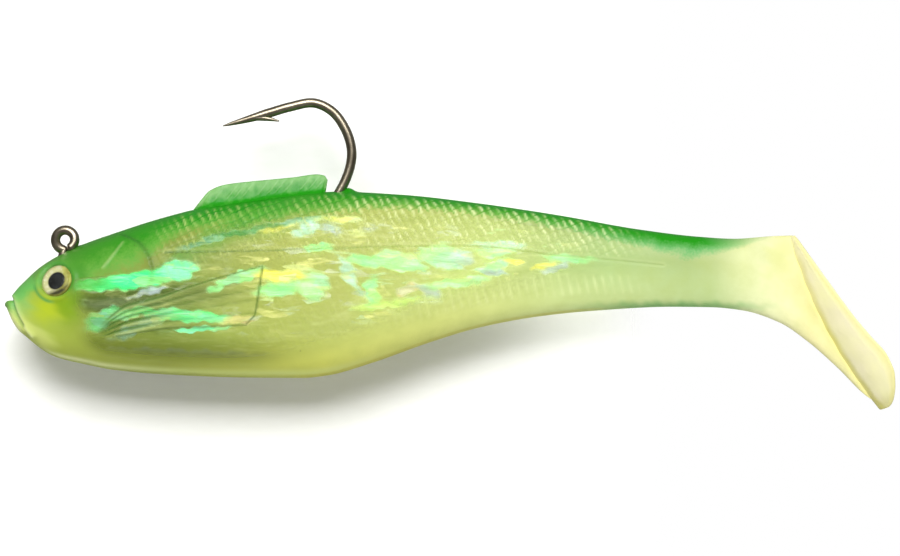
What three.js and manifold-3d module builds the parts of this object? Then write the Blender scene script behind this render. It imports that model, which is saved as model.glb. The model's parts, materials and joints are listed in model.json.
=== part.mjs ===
// A pre-rigged soft-plastic swimbait: a soft body moulded round a lead keel weight, a jig hook and
// two sheets of foil, with set-in eyes, a soft dorsal fin and a boot-shaped paddle tail.
//
// Millimetres. The origin is the centre of the line-tie ring. +X runs towards the tail, +Z towards
// the back and +Y towards the bait's right flank, as the bait hangs level from its line.
import * as THREE from "three";
import { mergeVertices } from "three/addons/utils/BufferGeometryUtils.js";
import Module from "manifold-3d";

const wasm = await Module();
wasm.setup();

// ---------------------------------------------------------------- driving dimensions
const NOSE_X = -7.4;
const NOSE_Z = -7.8;
const NOSE_ROUND = 1.1; // length over which the snout closes to a point
const WAG_X = 66; // where the tail stem flexes from side to side
const FAN_X = 84; // past here the sections fan out to the slant of the paddle
const FOLD_TOP = new THREE.Vector2(90.2, 0.6); // top of the line where the web meets the paddle
const FOLD_FOOT = new THREE.Vector2(101, -20.4); // and its foot
const FOLD_BOW = 1.1; // how far that line bows forward at its middle
const WEB_HALF = 0.8; // half the web's thickness at the paddle
const PADDLE_HALF = 6.9;
const PADDLE_THICK = 1.4;
const PADDLE_CUP = 0.07; // how far its edges sweep back, per mm of half-width squared
const PADDLE_OVERRUN = 0.4; // how far the plate runs past the web at each end
const PADDLE_SWING_ROOM = 0.85; // kept free in front of the plate, for its swing
const FIN_THICK = 1.0;
const WIRE_R = 0.57;
const RING_R = 1.22; // centre of the wire in the line-tie ring
const POINT_LENGTH = 8.4;
const EYE_X = -0.75;
const EYE_Z = -5.1;
const EYE_R = 2.05;
const PUPIL_R = 1.08;
const FOIL_THICK = 0.25;
const FOIL_DEPTH = 1.3; // below the skin
const GAP = 0.3; // left round each buried piece
const FINE_GAP = 0.12; // left between the small stacked pieces
const WIDEST_AT = 0.52; // height of a section's widest point, as a share of the section's height
const FULLNESS = 2.3; // exponent of a section's outline: 2 is an ellipse
const WELD = 1e-4; // points closer than this are one point

// ---------------------------------------------------------------- profiles along X
// A smooth curve through hand-set points that never overshoots them.
function profile(points) {
  const x = points.map((p) => p[0]);
  const v = points.map((p) => p[1]);
  const last = x.length - 1;
  const slope = x.slice(1).map((xi, i) => (v[i + 1] - v[i]) / (xi - x[i]));
  const tangent = x.map((_, i) => {
    if (i === 0) return slope[0];
    if (i === last) return slope[last - 1];
    const [a, b] = [slope[i - 1], slope[i]];
    return a * b <= 0 ? 0 : (2 * a * b) / (a + b);
  });
  return (at) => {
    const c = THREE.MathUtils.clamp(at, x[0], x[last]);
    let i = 0;
    while (i < last - 1 && c > x[i + 1]) i += 1;
    const h = x[i + 1] - x[i];
    const t = (c - x[i]) / h;
    return (
      v[i] * (1 + 2 * t) * (1 - t) ** 2 +
      h * tangent[i] * t * (1 - t) ** 2 +
      v[i + 1] * t * t * (3 - 2 * t) +
      h * tangent[i + 1] * t * t * (t - 1)
    );
  };
}

const backLine = profile([
  [-7.4, -7.4], [-5.6, -5.7], [-2.5, -3.1], [1.6, -0.85], [6.7, 1.0], [11.7, 2.6], [16.6, 3.85],
  [22.8, 4.8], [29, 5.6], [33.5, 5.95], [41.4, 5.6], [51.3, 4.5], [61.3, 3.0], [71.2, 1.25],
  [78.6, 0.35], [83, 0.1], [88, 0.5], [90.2, 0.6],
]);
const bellyLine = profile([
  [-7.4, -8.4], [-6.1, -10.5], [-4.6, -12.1], [-1.1, -14.4], [2.5, -15.3], [6, -16], [13, -16.6],
  [22, -16.95], [29.5, -17], [32.5, -16.7], [38, -15.15], [45.2, -12.6], [51.2, -10.8],
  [58.3, -9.45], [65.4, -8.7], [75, -8.2], [80, -8.25], [84, -8.65], [88.5, -10.2], [92.1, -12.65],
  [95.7, -15.85], [99.2, -19.3], [101, -20.4],
]);
const halfWidth = profile([
  [-7.4, 1.6], [-4, 3.3], [0, 4.8], [4, 5.7], [9, 6.5], [15, 7], [22, 7.1], [30, 6.8], [38, 5.9],
  [46, 4.8], [54, 3.95], [62, 3.25], [70, 2.65], [78, 2.1], [84, 1.75],
]);

// 0 at the nose, 1 once the snout has its full section.
function noseShare(x) {
  const t = THREE.MathUtils.clamp((x - NOSE_X) / NOSE_ROUND, 0, 1);
  return Math.sqrt(1 - (1 - t) ** 2);
}
const topOf = (x) => NOSE_Z + (backLine(x) - NOSE_Z) * noseShare(x);
const footOf = (x) => NOSE_Z + (bellyLine(x) - NOSE_Z) * noseShare(x);
const widthOf = (x) => halfWidth(x) * noseShare(x);
const widestZ = (x) => footOf(x) + WIDEST_AT * (topOf(x) - footOf(x));

// Half-breadth of the body at height z on station x.
function flankY(x, z) {
  const mid = widestZ(x);
  const reach = z > mid ? topOf(x) - mid : mid - footOf(x);
  const q = Math.min(1, Math.abs(z - mid) / Math.max(reach, 1e-6));
  return widthOf(x) * Math.sqrt(1 - q ** FULLNESS);
}

// ---------------------------------------------------------------- solids
function manifoldOf(geometry) {
  const bare = geometry.index ? geometry.toNonIndexed() : geometry.clone();
  for (const name of Object.keys(bare.attributes)) {
    if (name !== "position") bare.deleteAttribute(name);
  }
  const merged = mergeVertices(bare, WELD);
  return new wasm.Manifold(
    new wasm.Mesh({
      numProp: 3,
      vertProperties: merged.attributes.position.array,
      triVerts: new Uint32Array(merged.index.array),
    }),
  );
}

function geometryOf(solid) {
  const mesh = solid.getMesh();
  const geometry = new THREE.BufferGeometry();
  geometry.setAttribute("position", new THREE.BufferAttribute(mesh.vertProperties, 3));
  geometry.setIndex(new THREE.BufferAttribute(mesh.triVerts, 1));
  geometry.computeVertexNormals();
  return geometry;
}

// A closed skin over rings of points, each ring an array of [x, y, z] with an even count. Both ends
// are closed by strips between the ring's first half and its second.
function skinOver(rings) {
  const positions = [];
  const quad = (a, b, c, d) => [a, b, c, a, c, d].forEach((p) => positions.push(...p));
  const count = rings[0].length;
  for (let i = 0; i + 1 < rings.length; i += 1) {
    for (let j = 0; j < count; j += 1) {
      const k = (j + 1) % count;
      quad(rings[i][j], rings[i + 1][j], rings[i + 1][k], rings[i][k]);
    }
  }
  const first = rings[0];
  const last = rings[rings.length - 1];
  for (let j = 0; j + 1 < count / 2; j += 1) {
    const k = count - 1 - j;
    quad(first[j], first[j + 1], first[k - 1], first[k]);
    quad(last[k], last[k - 1], last[j + 1], last[j]);
  }
  const geometry = new THREE.BufferGeometry();
  geometry.setAttribute("position", new THREE.Float32BufferAttribute(positions, 3));
  return signed(manifoldOf(geometry));
}

function flipped(geometry) {
  const p = geometry.attributes.position.array.slice();
  for (let i = 0; i < p.length; i += 9) {
    for (let k = 0; k < 3; k += 1) {
      [p[i + 3 + k], p[i + 6 + k]] = [p[i + 6 + k], p[i + 3 + k]];
    }
  }
  const turned = new THREE.BufferGeometry();
  turned.setAttribute("position", new THREE.BufferAttribute(p, 3));
  return turned;
}

// A solid from a profile that may have been drawn either way round.
function signed(solid) {
  if (solid.volume() >= 0) return solid;
  return manifoldOf(flipped(geometryOf(solid).toNonIndexed()));
}

// One section of an egg-shaped loft between a top and a foot point in the XZ plane.
function eggRing(top, foot, half, widest, around, bow = 0) {
  const ring = [];
  for (let j = 0; j < around; j += 1) {
    const angle = (j / around) * 2 * Math.PI;
    const rise = Math.sin(angle);
    const share = rise > 0 ? widest + (1 - widest) * rise : widest * (1 + rise);
    const breadth = half * Math.sqrt(Math.max(0, 1 - Math.abs(rise) ** FULLNESS));
    const forward = bow * Math.sin(Math.PI * share);
    ring.push([
      foot.x + (top.x - foot.x) * share - forward * foldNormal.x,
      Math.sign(Math.cos(angle)) * breadth,
      foot.y + (top.y - foot.y) * share - forward * foldNormal.y,
    ]);
  }
  return ring;
}

// Everything between two stations, far wider and taller than the bait.
function slab(lowX, highX) {
  const tall = 80;
  const shape = new THREE.BoxGeometry(highX - lowX, tall, tall);
  return manifoldOf(shape.translate((lowX + highX) / 2, 0, 0));
}

// A wire of round section along a curve.
function wire(curve, radius, steps) {
  const section = new THREE.Shape().absarc(0, 0, radius, 0, 2 * Math.PI, false);
  const geometry = new THREE.ExtrudeGeometry(section, {
    steps,
    extrudePath: curve,
    curveSegments: 5,
    bevelEnabled: false,
  });
  return manifoldOf(geometry);
}

// ---------------------------------------------------------------- soft body, tail stem and paddle
const foldDirection = FOLD_FOOT.clone().sub(FOLD_TOP).normalize();
const foldNormal = new THREE.Vector2(-foldDirection.y, foldDirection.x); // points back and up
const foldLength = FOLD_FOOT.distanceTo(FOLD_TOP);
const AROUND = 24;

function trunk() {
  const rings = [];
  const noseSteps = 4;
  for (let i = 1; i <= noseSteps; i += 1) {
    const x = NOSE_X + NOSE_ROUND * (1 - Math.cos((i / noseSteps) * (Math.PI / 2)));
    rings.push(trunkRing(x));
  }
  const steps = 30;
  const start = NOSE_X + NOSE_ROUND;
  for (let i = 1; i <= steps; i += 1) {
    rings.push(trunkRing(start + ((FAN_X - start) * i) / steps));
  }
  const fanSteps = 6;
  for (let i = 1; i <= fanSteps; i += 1) rings.push(fanRing(i / fanSteps));
  return skinOver(rings);
}

function trunkRing(x) {
  const top = new THREE.Vector2(x, topOf(x));
  const foot = new THREE.Vector2(x, footOf(x));
  return eggRing(top, foot, widthOf(x), WIDEST_AT, AROUND);
}

// Past the stem's narrowest place the sections turn until they lie along the fold.
function fanRing(t) {
  const topX = FAN_X + (FOLD_TOP.x - FAN_X) * t;
  const footX = FAN_X + (FOLD_FOOT.x - FAN_X) * t;
  const half = halfWidth(FAN_X) + (WEB_HALF - halfWidth(FAN_X)) * t;
  const top = new THREE.Vector2(topX, topOf(topX));
  const foot = new THREE.Vector2(footX, bellyLine(footX));
  return eggRing(top, foot, half, WIDEST_AT, AROUND, FOLD_BOW * t);
}

// The paddle's half-width at a distance down the fold.
const paddleOutline = profile([
  [-0.4, 0.7], [2, 2.4], [5.5, 4.1], [9, 5.15], [12.6, 5.9], [15.5, 6.45], [18, PADDLE_HALF],
  [20, 6.6], [22, 5.5], [23.3, 4.2], [24, 3.2],
]);

function paddleRing(s) {
  const bow = FOLD_BOW * Math.sin((Math.PI * THREE.MathUtils.clamp(s, 0, foldLength)) / foldLength);
  const half = paddleOutline(s);
  const points = [];
  const across = 8;
  for (const face of [-1, 1]) {
    for (let j = 0; j <= across; j += 1) {
      const q = face * (1 - (2 * j) / across);
      const thin = 0.5 + 0.5 * Math.sqrt(Math.max(0, 1 - q ** 4));
      const lift = PADDLE_CUP * (q * half) ** 2 - bow + (face * PADDLE_THICK * thin) / 2;
      points.push([
        FOLD_TOP.x + foldDirection.x * s + foldNormal.x * lift,
        q * half,
        FOLD_TOP.y + foldDirection.y * s + foldNormal.y * lift,
      ]);
    }
  }
  return points;
}

function paddle() {
  const rings = [];
  const steps = 14;
  const start = -PADDLE_OVERRUN;
  const end = foldLength + PADDLE_OVERRUN;
  for (let i = 0; i <= steps; i += 1) {
    rings.push(paddleRing(start + (end - start) * Math.sin(((i / steps) * Math.PI) / 2)));
  }
  return skinOver(rings);
}

// The space that the paddle's plate sweeps as it swings, which the web stays out of.
function paddleSweep() {
  const clearance = PADDLE_THICK / 2 + PADDLE_SWING_ROOM;
  const points = [];
  const steps = 12;
  const beyond = 2;
  for (let i = 0; i <= steps; i += 1) {
    const s = -beyond + (foldLength + 2 * beyond) * (i / steps);
    const inside = THREE.MathUtils.clamp(s / foldLength, 0, 1);
    const lift = -FOLD_BOW * Math.sin(Math.PI * inside) - clearance;
    points.push(
      new THREE.Vector2(
        FOLD_TOP.x + foldDirection.x * s + foldNormal.x * lift,
        FOLD_TOP.y + foldDirection.y * s + foldNormal.y * lift,
      ),
    );
  }
  const shape = new THREE.Shape(points);
  const back = 20;
  shape.lineTo(points[steps].x + foldNormal.x * back, points[steps].y + foldNormal.y * back);
  shape.lineTo(points[0].x + foldNormal.x * back, points[0].y + foldNormal.y * back);
  return sideways(shape, back);
}

// A shape drawn in XZ, given its thickness across Y.
function sideways(shape, thickness) {
  const geometry = new THREE.ExtrudeGeometry(shape, {
    depth: thickness,
    bevelEnabled: false,
    curveSegments: 8,
  });
  geometry.rotateX(Math.PI / 2);
  geometry.translate(0, thickness / 2, 0);
  return manifoldOf(geometry);
}

// ---------------------------------------------------------------- hook
const inPlane = ([x, z]) => new THREE.Vector3(x, 0, z);
const neckStart = inPlane([-0.1, -RING_R]);
const neckEnd = inPlane([-0.35, -2.5]);
const shankStart = inPlane([1.3, -5.4]);
const shankEnd = inPlane([26.4, 0.8]);
const bendCurve = new THREE.CatmullRomCurve3(
  [
    [26.4, 0.8], [30.3, 2.4], [32.8, 4.4], [34.4, 6.8], [35.3, 9.2], [35.45, 11.4], [34.7, 13.8],
    [33.1, 15.8], [30.7, 16.9], [27.8, 16.45],
  ].map(inPlane),
);
const bendEnd = bendCurve.getPoint(1);
const pointDirection = new THREE.Vector3(-0.965, 0, -0.262); // nearly parallel to the shank

const shankCurve = new THREE.CurvePath();
shankCurve.add(new THREE.QuadraticBezierCurve3(neckEnd, inPlane([-0.7, -5.9]), shankStart));
shankCurve.add(new THREE.LineCurve3(shankStart, shankEnd));

// The ring's section has flats, so its two sides are true flat faces.
function lineTieRing() {
  const sides = 8;
  const section = [];
  for (let i = 0; i <= sides; i += 1) {
    const angle = ((i + 0.5) / sides) * 2 * Math.PI;
    section.push(new THREE.Vector2(RING_R + WIRE_R * Math.cos(angle), WIRE_R * Math.sin(angle)));
  }
  const ring = manifoldOf(new THREE.LatheGeometry(section, 24));
  const neck = wire(new THREE.LineCurve3(neckStart, neckEnd), WIRE_R, 1);
  return signed(ring).add(neck);
}

// The part of a curve between two distances along it.
class Stretch extends THREE.Curve {
  constructor(curve, from, to = curve.getLength()) {
    super();
    Object.assign(this, { curve, from, to, whole: curve.getLength() });
  }

  getPoint(t) {
    return this.curve.getPointAt((this.from + (this.to - this.from) * t) / this.whole);
  }
}

function hookShank() {
  return wire(new Stretch(shankCurve, FINE_GAP), WIRE_R, 10);
}

function hookBend() {
  return wire(new Stretch(bendCurve, FINE_GAP), WIRE_R, 20);
}

// A needle point with one barb cut up from its inner side.
function hookPoint() {
  const needle = [
    [0, 0], [WIRE_R, 0], [WIRE_R, POINT_LENGTH * 0.4], [WIRE_R * 0.55, POINT_LENGTH * 0.75],
    [0, POINT_LENGTH],
  ].map(([r, along]) => new THREE.Vector2(r, along));
  const cone = signed(manifoldOf(new THREE.LatheGeometry(needle, 12)));
  const barbShape = new THREE.Shape([
    new THREE.Vector2(0.1, POINT_LENGTH * 0.62),
    new THREE.Vector2(0.72, POINT_LENGTH * 0.3),
    new THREE.Vector2(0.9, POINT_LENGTH * 0.33),
    new THREE.Vector2(0.35, POINT_LENGTH * 0.68),
  ]);
  const barb = new THREE.ExtrudeGeometry(barbShape, { depth: 0.4, bevelEnabled: false });
  barb.translate(0, 0, -0.2);
  const whole = signed(cone).add(signed(manifoldOf(barb)));
  const inner = new THREE.Vector3(-pointDirection.z, 0, pointDirection.x); // towards the shank
  const side = new THREE.Vector3().crossVectors(inner, pointDirection);
  const start = bendEnd.clone().addScaledVector(pointDirection, FINE_GAP);
  const place = new THREE.Matrix4().makeBasis(inner, pointDirection, side).setPosition(start);
  return manifoldOf(geometryOf(whole).applyMatrix4(place));
}

// The run of wire that the soft body and the lead leave room for.
function wireRoom() {
  const loose = WIRE_R + GAP;
  const corner = loose + 0.07; // closes the outer side of a turn between two straight runs
  const buriedBend = 11;
  const ringRadius = RING_R + loose;
  const ringDepth = 2 * loose + 0.1;
  const ringSeat = new THREE.CylinderGeometry(ringRadius, ringRadius, ringDepth, 24);
  return manifoldOf(ringSeat)
    .add(wire(new THREE.LineCurve3(neckStart, neckEnd), loose, 1))
    .add(wire(shankCurve, loose, 10))
    .add(wire(new Stretch(bendCurve, 0, buriedBend), loose, 7))
    .add(ball(neckEnd, corner))
    .add(ball(shankEnd, corner));
}

function ball(centre, radius) {
  return manifoldOf(
    new THREE.SphereGeometry(radius, 12, 8).translate(centre.x, centre.y, centre.z),
  );
}

// ---------------------------------------------------------------- lead weight
const LEAD_FROM = -3.6;
const LEAD_TO = 29;
const leadBack = profile([
  [LEAD_FROM, -6.3], [0, -2.9], [4, -1.9], [12, -2.2], [18, -5.6], [24, -9.5], [LEAD_TO, -12.4],
]);
const leadFoot = profile([
  [LEAD_FROM, -7.7], [0, -11.6], [4, -13.6], [10, -14.7], [18, -15.2], [24, -15], [LEAD_TO, -13.4],
]);
const leadHalf = profile([
  [LEAD_FROM, 0.6], [0, 2.1], [5, 2.4], [12, 2.3], [20, 2], [26, 1.5], [LEAD_TO, 0.5],
]);

// The weight's form, grown by extra all round.
function leadSolid(extra) {
  const rings = [];
  const steps = 16;
  for (let i = 0; i <= steps; i += 1) {
    const inside = LEAD_FROM + ((LEAD_TO - LEAD_FROM) * i) / steps;
    const x = inside + (i === 0 ? -extra : 0) + (i === steps ? extra : 0);
    const top = new THREE.Vector2(x, leadBack(inside) + extra);
    const foot = new THREE.Vector2(x, leadFoot(inside) - extra);
    rings.push(eggRing(top, foot, leadHalf(inside) + extra, 0.5, 16));
  }
  return skinOver(rings);
}

// ---------------------------------------------------------------- foil
// A sheet that follows one flank just under the skin. margin grows it into its own pocket.
function foil(side, margin) {
  const from = 1.5 - margin;
  const to = 60 + margin;
  const rings = [];
  const steps = 18;
  const rows = 4;
  for (let i = 0; i <= steps; i += 1) {
    const x = from + ((to - from) * i) / steps;
    const mid = widestZ(x);
    const high = mid + 0.5 * (topOf(x) - mid) + margin;
    const low = mid - 0.56 * (mid - footOf(x)) - margin;
    const ring = [];
    for (const face of [1, -1]) {
      for (let j = 0; j <= rows; j += 1) {
        const share = face > 0 ? j / rows : 1 - j / rows;
        const z = low + (high - low) * share;
        const y = flankY(x, z) - FOIL_DEPTH + face * (FOIL_THICK / 2 + margin);
        ring.push([x, side * y, z]);
      }
    }
    rings.push(ring);
  }
  return skinOver(rings);
}

// ---------------------------------------------------------------- eyes
// The eye's axis is the skin's own normal at its centre.
function eyeFrame(side) {
  const step = 0.2;
  const y = flankY(EYE_X, EYE_Z);
  const dx = (flankY(EYE_X + step, EYE_Z) - flankY(EYE_X - step, EYE_Z)) / (2 * step);
  const dz = (flankY(EYE_X, EYE_Z + step) - flankY(EYE_X, EYE_Z - step)) / (2 * step);
  const outward = new THREE.Vector3(-dx, side, -dz).normalize();
  const turn = new THREE.Quaternion().setFromUnitVectors(new THREE.Vector3(0, 1, 0), outward);
  const centre = new THREE.Vector3(EYE_X, side * y, EYE_Z);
  return new THREE.Matrix4().compose(centre, turn, new THREE.Vector3(1, 1, 1));
}

const EYE_SEAT = -1.15; // the eye's seat, along its axis from the skin
const IRIS_THICK = 0.3;
const PUPIL_THICK = 0.2;
const DOME_RISE = 0.95;

function eyePiece(side, geometry) {
  return signed(manifoldOf(geometry.applyMatrix4(eyeFrame(side))));
}

function disc(radius, low, high) {
  return new THREE.CylinderGeometry(radius, radius, high - low, 20).translate(0, (low + high) / 2, 0);
}

function eyeIris(side) {
  return eyePiece(side, disc(EYE_R, EYE_SEAT, EYE_SEAT + IRIS_THICK));
}

function eyePupil(side) {
  const low = EYE_SEAT + IRIS_THICK + FINE_GAP;
  return eyePiece(side, disc(PUPIL_R, low, low + PUPIL_THICK));
}

function eyeLens(side) {
  const low = EYE_SEAT + IRIS_THICK + PUPIL_THICK + 2 * FINE_GAP;
  const rim = 0.2;
  const outline = [new THREE.Vector2(0, low), new THREE.Vector2(EYE_R, low)];
  const steps = 5;
  for (let i = 0; i <= steps; i += 1) {
    const angle = ((i / steps) * Math.PI) / 2;
    const radius = i === steps ? 0 : EYE_R * Math.cos(angle);
    outline.push(new THREE.Vector2(radius, low + rim + DOME_RISE * Math.sin(angle)));
  }
  return eyePiece(side, new THREE.LatheGeometry(outline, 20));
}

function eyeSocket(side) {
  const aboveSkin = 4;
  return eyePiece(side, disc(EYE_R + GAP, EYE_SEAT - GAP, aboveSkin));
}

// ---------------------------------------------------------------- dorsal fin and mouth
const FIN_BASE = [new THREE.Vector2(16, 3.7), new THREE.Vector2(32, 5.8)];
const FIN_CLEAR = 0.55; // the fin's foot above the back, so that it can fold either way
const FIN_RAKE = 0.4; // how far its front edge starts behind its base

function dorsalFin() {
  const outline = new THREE.Shape();
  outline.moveTo(FIN_BASE[0].x + FIN_RAKE, FIN_BASE[0].y + FIN_CLEAR);
  outline.splineThru([
    new THREE.Vector2(17.9, 6.15),
    new THREE.Vector2(19.7, 6.95),
    new THREE.Vector2(24.5, 7.6),
    new THREE.Vector2(31.2, 8.25),
    new THREE.Vector2(32.25, 7.9),
  ]);
  outline.lineTo(FIN_BASE[1].x, FIN_BASE[1].y + FIN_CLEAR);
  return sideways(outline, FIN_THICK);
}

// The slit behind the lower lip, open at the front and sides.
function mouthSlit() {
  const slit = new THREE.Shape([
    new THREE.Vector2(-7.3, -5.6),
    new THREE.Vector2(-6.95, -7.3),
    new THREE.Vector2(-5.35, -10.35),
    new THREE.Vector2(-5.1, -10.2),
    new THREE.Vector2(-6.35, -7.0),
    new THREE.Vector2(-6.3, -5.6),
  ]);
  return sideways(slit, 12);
}

// ---------------------------------------------------------------- assembly
const SIDES = { left: -1, right: 1 };
const KNUCKLE_R = widthOf(WAG_X) - 0.2;
const SOCKET_R = widthOf(WAG_X) + 0.25;
const WAG_SINE = 0.62; // sine of a little more than the stem's swing
const BEFORE_NOSE = -20;
const PAST_TAIL = 140;

function wagCylinder(radius) {
  const tall = 60;
  const post = new THREE.CylinderGeometry(radius, radius, tall, 30);
  return manifoldOf(post.rotateX(Math.PI / 2).translate(WAG_X, 0, 0));
}

function softBody(whole, leadRoom, hookRoom) {
  let body = whole.intersect(slab(BEFORE_NOSE, WAG_X - WAG_SINE * SOCKET_R));
  body = body.subtract(wagCylinder(SOCKET_R)).subtract(leadRoom).subtract(hookRoom);
  body = body.subtract(mouthSlit());
  for (const side of Object.values(SIDES)) {
    body = body.subtract(foil(side, GAP)).subtract(eyeSocket(side));
  }
  return body;
}

function tailStem(whole) {
  const front = whole.intersect(wagCylinder(KNUCKLE_R));
  const rear = whole.intersect(slab(WAG_X, PAST_TAIL));
  return front.add(rear).subtract(paddleSweep());
}

const MATERIALS = {
  soft: { color: 0xb9c455, roughness: 0.32, metalness: 0 },
  tail: { color: 0xe6e39a, roughness: 0.35, metalness: 0 },
  back: { color: 0x3f9f2f, roughness: 0.35, metalness: 0 },
  lead: { color: 0x7a7c78, roughness: 0.5, metalness: 0.8 },
  steel: { color: 0x5b5348, roughness: 0.25, metalness: 1 },
  foil: { color: 0x6fe0a8, roughness: 0.2, metalness: 0.9 },
  iris: { color: 0xd8c878, roughness: 0.25, metalness: 0.6 },
  pupil: { color: 0x0b0b0b, roughness: 0.3, metalness: 0 },
  lens: { color: 0xf2f4ee, roughness: 0.05, metalness: 0, transparent: true, opacity: 0.35 },
};

const swimbait = new THREE.Group();

function place(name, solid, finish) {
  const mesh = new THREE.Mesh(
    geometryOf(solid),
    new THREE.MeshStandardMaterial(MATERIALS[finish]),
  );
  mesh.name = name;
  swimbait.add(mesh);
}

const whole = trunk();
const hookRoom = wireRoom();
place("soft_body", softBody(whole, leadSolid(GAP), hookRoom), "soft");
place("tail_stem", tailStem(whole), "tail");
place("tail_paddle", paddle(), "tail");
place("dorsal_fin", dorsalFin(), "back");
place("lead_weight", leadSolid(0).subtract(hookRoom), "lead");
place("line_tie_ring", lineTieRing(), "steel");
place("hook_shank", hookShank(), "steel");
place("hook_bend", hookBend(), "steel");
place("hook_point", hookPoint(), "steel");
for (const [name, side] of Object.entries(SIDES)) {
  place(`foil_${name}`, foil(side, 0), "foil");
  place(`eye_iris_${name}`, eyeIris(side), "iris");
  place(`eye_pupil_${name}`, eyePupil(side), "pupil");
  place(`eye_lens_${name}`, eyeLens(side), "lens");
}

export default swimbait;
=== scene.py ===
"""Looks for a pre-rigged soft-plastic swimbait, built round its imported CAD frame.

Shapes are worked out in millimetres, in the frame's own axes, and turned into metres as meshes are made.
The bait's nose points along -X, its back along +Z, and its left flank, along -Y, faces the camera.
"""

import json
import math
from functools import partialmethod

import bpy
import numpy as np
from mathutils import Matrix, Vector


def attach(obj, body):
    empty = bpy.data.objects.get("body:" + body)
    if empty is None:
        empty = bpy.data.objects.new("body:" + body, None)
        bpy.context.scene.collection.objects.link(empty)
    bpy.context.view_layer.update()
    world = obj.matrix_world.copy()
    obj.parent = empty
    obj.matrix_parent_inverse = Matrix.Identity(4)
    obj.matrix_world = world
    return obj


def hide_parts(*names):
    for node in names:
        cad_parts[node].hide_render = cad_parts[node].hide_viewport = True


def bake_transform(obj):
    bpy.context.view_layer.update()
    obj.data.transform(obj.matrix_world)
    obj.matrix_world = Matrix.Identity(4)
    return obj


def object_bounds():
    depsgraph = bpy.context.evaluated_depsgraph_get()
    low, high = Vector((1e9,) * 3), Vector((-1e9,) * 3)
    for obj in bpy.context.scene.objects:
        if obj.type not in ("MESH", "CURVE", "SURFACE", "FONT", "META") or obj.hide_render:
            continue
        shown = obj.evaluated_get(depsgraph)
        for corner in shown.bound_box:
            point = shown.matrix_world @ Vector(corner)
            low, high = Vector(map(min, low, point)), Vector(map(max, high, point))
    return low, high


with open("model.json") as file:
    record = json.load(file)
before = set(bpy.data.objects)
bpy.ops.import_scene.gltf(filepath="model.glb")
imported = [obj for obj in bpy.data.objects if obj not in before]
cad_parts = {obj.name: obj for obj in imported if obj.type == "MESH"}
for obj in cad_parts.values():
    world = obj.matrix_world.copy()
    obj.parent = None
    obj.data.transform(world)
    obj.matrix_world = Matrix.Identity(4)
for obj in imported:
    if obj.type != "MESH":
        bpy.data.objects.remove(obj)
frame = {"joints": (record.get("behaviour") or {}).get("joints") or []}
cad_low, cad_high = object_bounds()

MM = 0.001
JOINTS = {joint["name"]: joint for joint in frame["joints"]}


# ---- curves
def profile(*points):
    """A smooth function of x through given points, which never overshoots them."""
    x, v = np.array(points, float).T
    step = np.diff(x)
    slope = np.diff(v) / step
    before, after = slope[:-1], slope[1:]
    total = np.where(before * after > 0, before + after, 1)
    inner = np.where(before * after > 0, 2 * before * after / total, 0)
    tangent = np.concatenate(([slope[0]], inner, [slope[-1]]))

    def at(q):
        c = np.clip(np.asarray(q, float), x[0], x[-1])
        i = np.clip(np.searchsorted(x, c) - 1, 0, len(x) - 2)
        t = (c - x[i]) / step[i]
        return (
            v[i] * (1 + 2 * t) * (1 - t) ** 2
            + step[i] * tangent[i] * t * (1 - t) ** 2
            + v[i + 1] * t * t * (3 - 2 * t)
            + step[i] * tangent[i + 1] * t * t * (t - 1)
        )

    return at


def rounded(points, steps=8):
    """A Catmull-Rom curve through given points, as a polyline."""
    p = np.array(points, float)
    p = np.vstack([2 * p[0] - p[1], p, 2 * p[-1] - p[-2]])
    t = np.linspace(0, 1, steps, endpoint=False)[:, None]
    runs = []
    for a, b, c, d in zip(p[:-3], p[1:-2], p[2:-1], p[3:]):
        cubic = (3 * b - a - 3 * c + d) * t**3 + (2 * a - 5 * b + 4 * c - d) * t**2
        runs.append(0.5 * (cubic + (c - a) * t + 2 * b))
    return np.vstack(runs + [p[-2:-1]])


def smooth(edge0, edge1, v):
    """0 before edge0, 1 past edge1, and an S between them. With edge0 the larger it falls instead."""
    t = np.clip((v - edge0) / (edge1 - edge0), 0, 1)
    return t * t * (3 - 2 * t)


def bump(v, width):
    """1 at v = 0, falling away as a bell of that width."""
    return np.exp(-((v / width) ** 2))


def turns(count):
    """Angles evenly round a circle."""
    return np.linspace(0, 2 * math.pi, count, endpoint=False)


def distance_to(line, x, z):
    """How far each (x, z) lies from a polyline, and on which side: positive is to the left of its run."""
    best = np.full(x.shape, np.inf)
    side = np.zeros(x.shape)
    for (ax, az), (bx, bz) in zip(line[:-1], line[1:]):
        dx, dz = bx - ax, bz - az
        t = np.clip(((x - ax) * dx + (z - az) * dz) / (dx * dx + dz * dz), 0, 1)
        gap = np.hypot(x - ax - t * dx, z - az - t * dz)
        nearer = gap < best
        best = np.where(nearer, gap, best)
        side = np.where(nearer, np.sign(dx * (z - az) - dz * (x - ax)), side)
    return best, side


# ---- the moulding's form
NOSE_X, NOSE_Z = -7.3, -8.1
NOSE_ROUND = 1.2
FAN_X = 84
HALF_AT_FAN, HALF_AT_FOLD = 1.75, 0.75
FOLD_TOP = np.array(JOINTS["paddle_kick"]["pos_m"])[[0, 2]] / MM
FOLD_RUN = np.array(JOINTS["paddle_kick"]["axis"])[[0, 2]]
FOLD_BACK = np.array([-FOLD_RUN[1], FOLD_RUN[0]])  # square to the fold, towards the rear
FOLD_LENGTH = 23.6
FOLD_FOOT = FOLD_TOP + FOLD_RUN * FOLD_LENGTH
FOLD_BOW = 1.1
WIDEST_AT = 0.52
FULLNESS = 2.3

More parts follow.
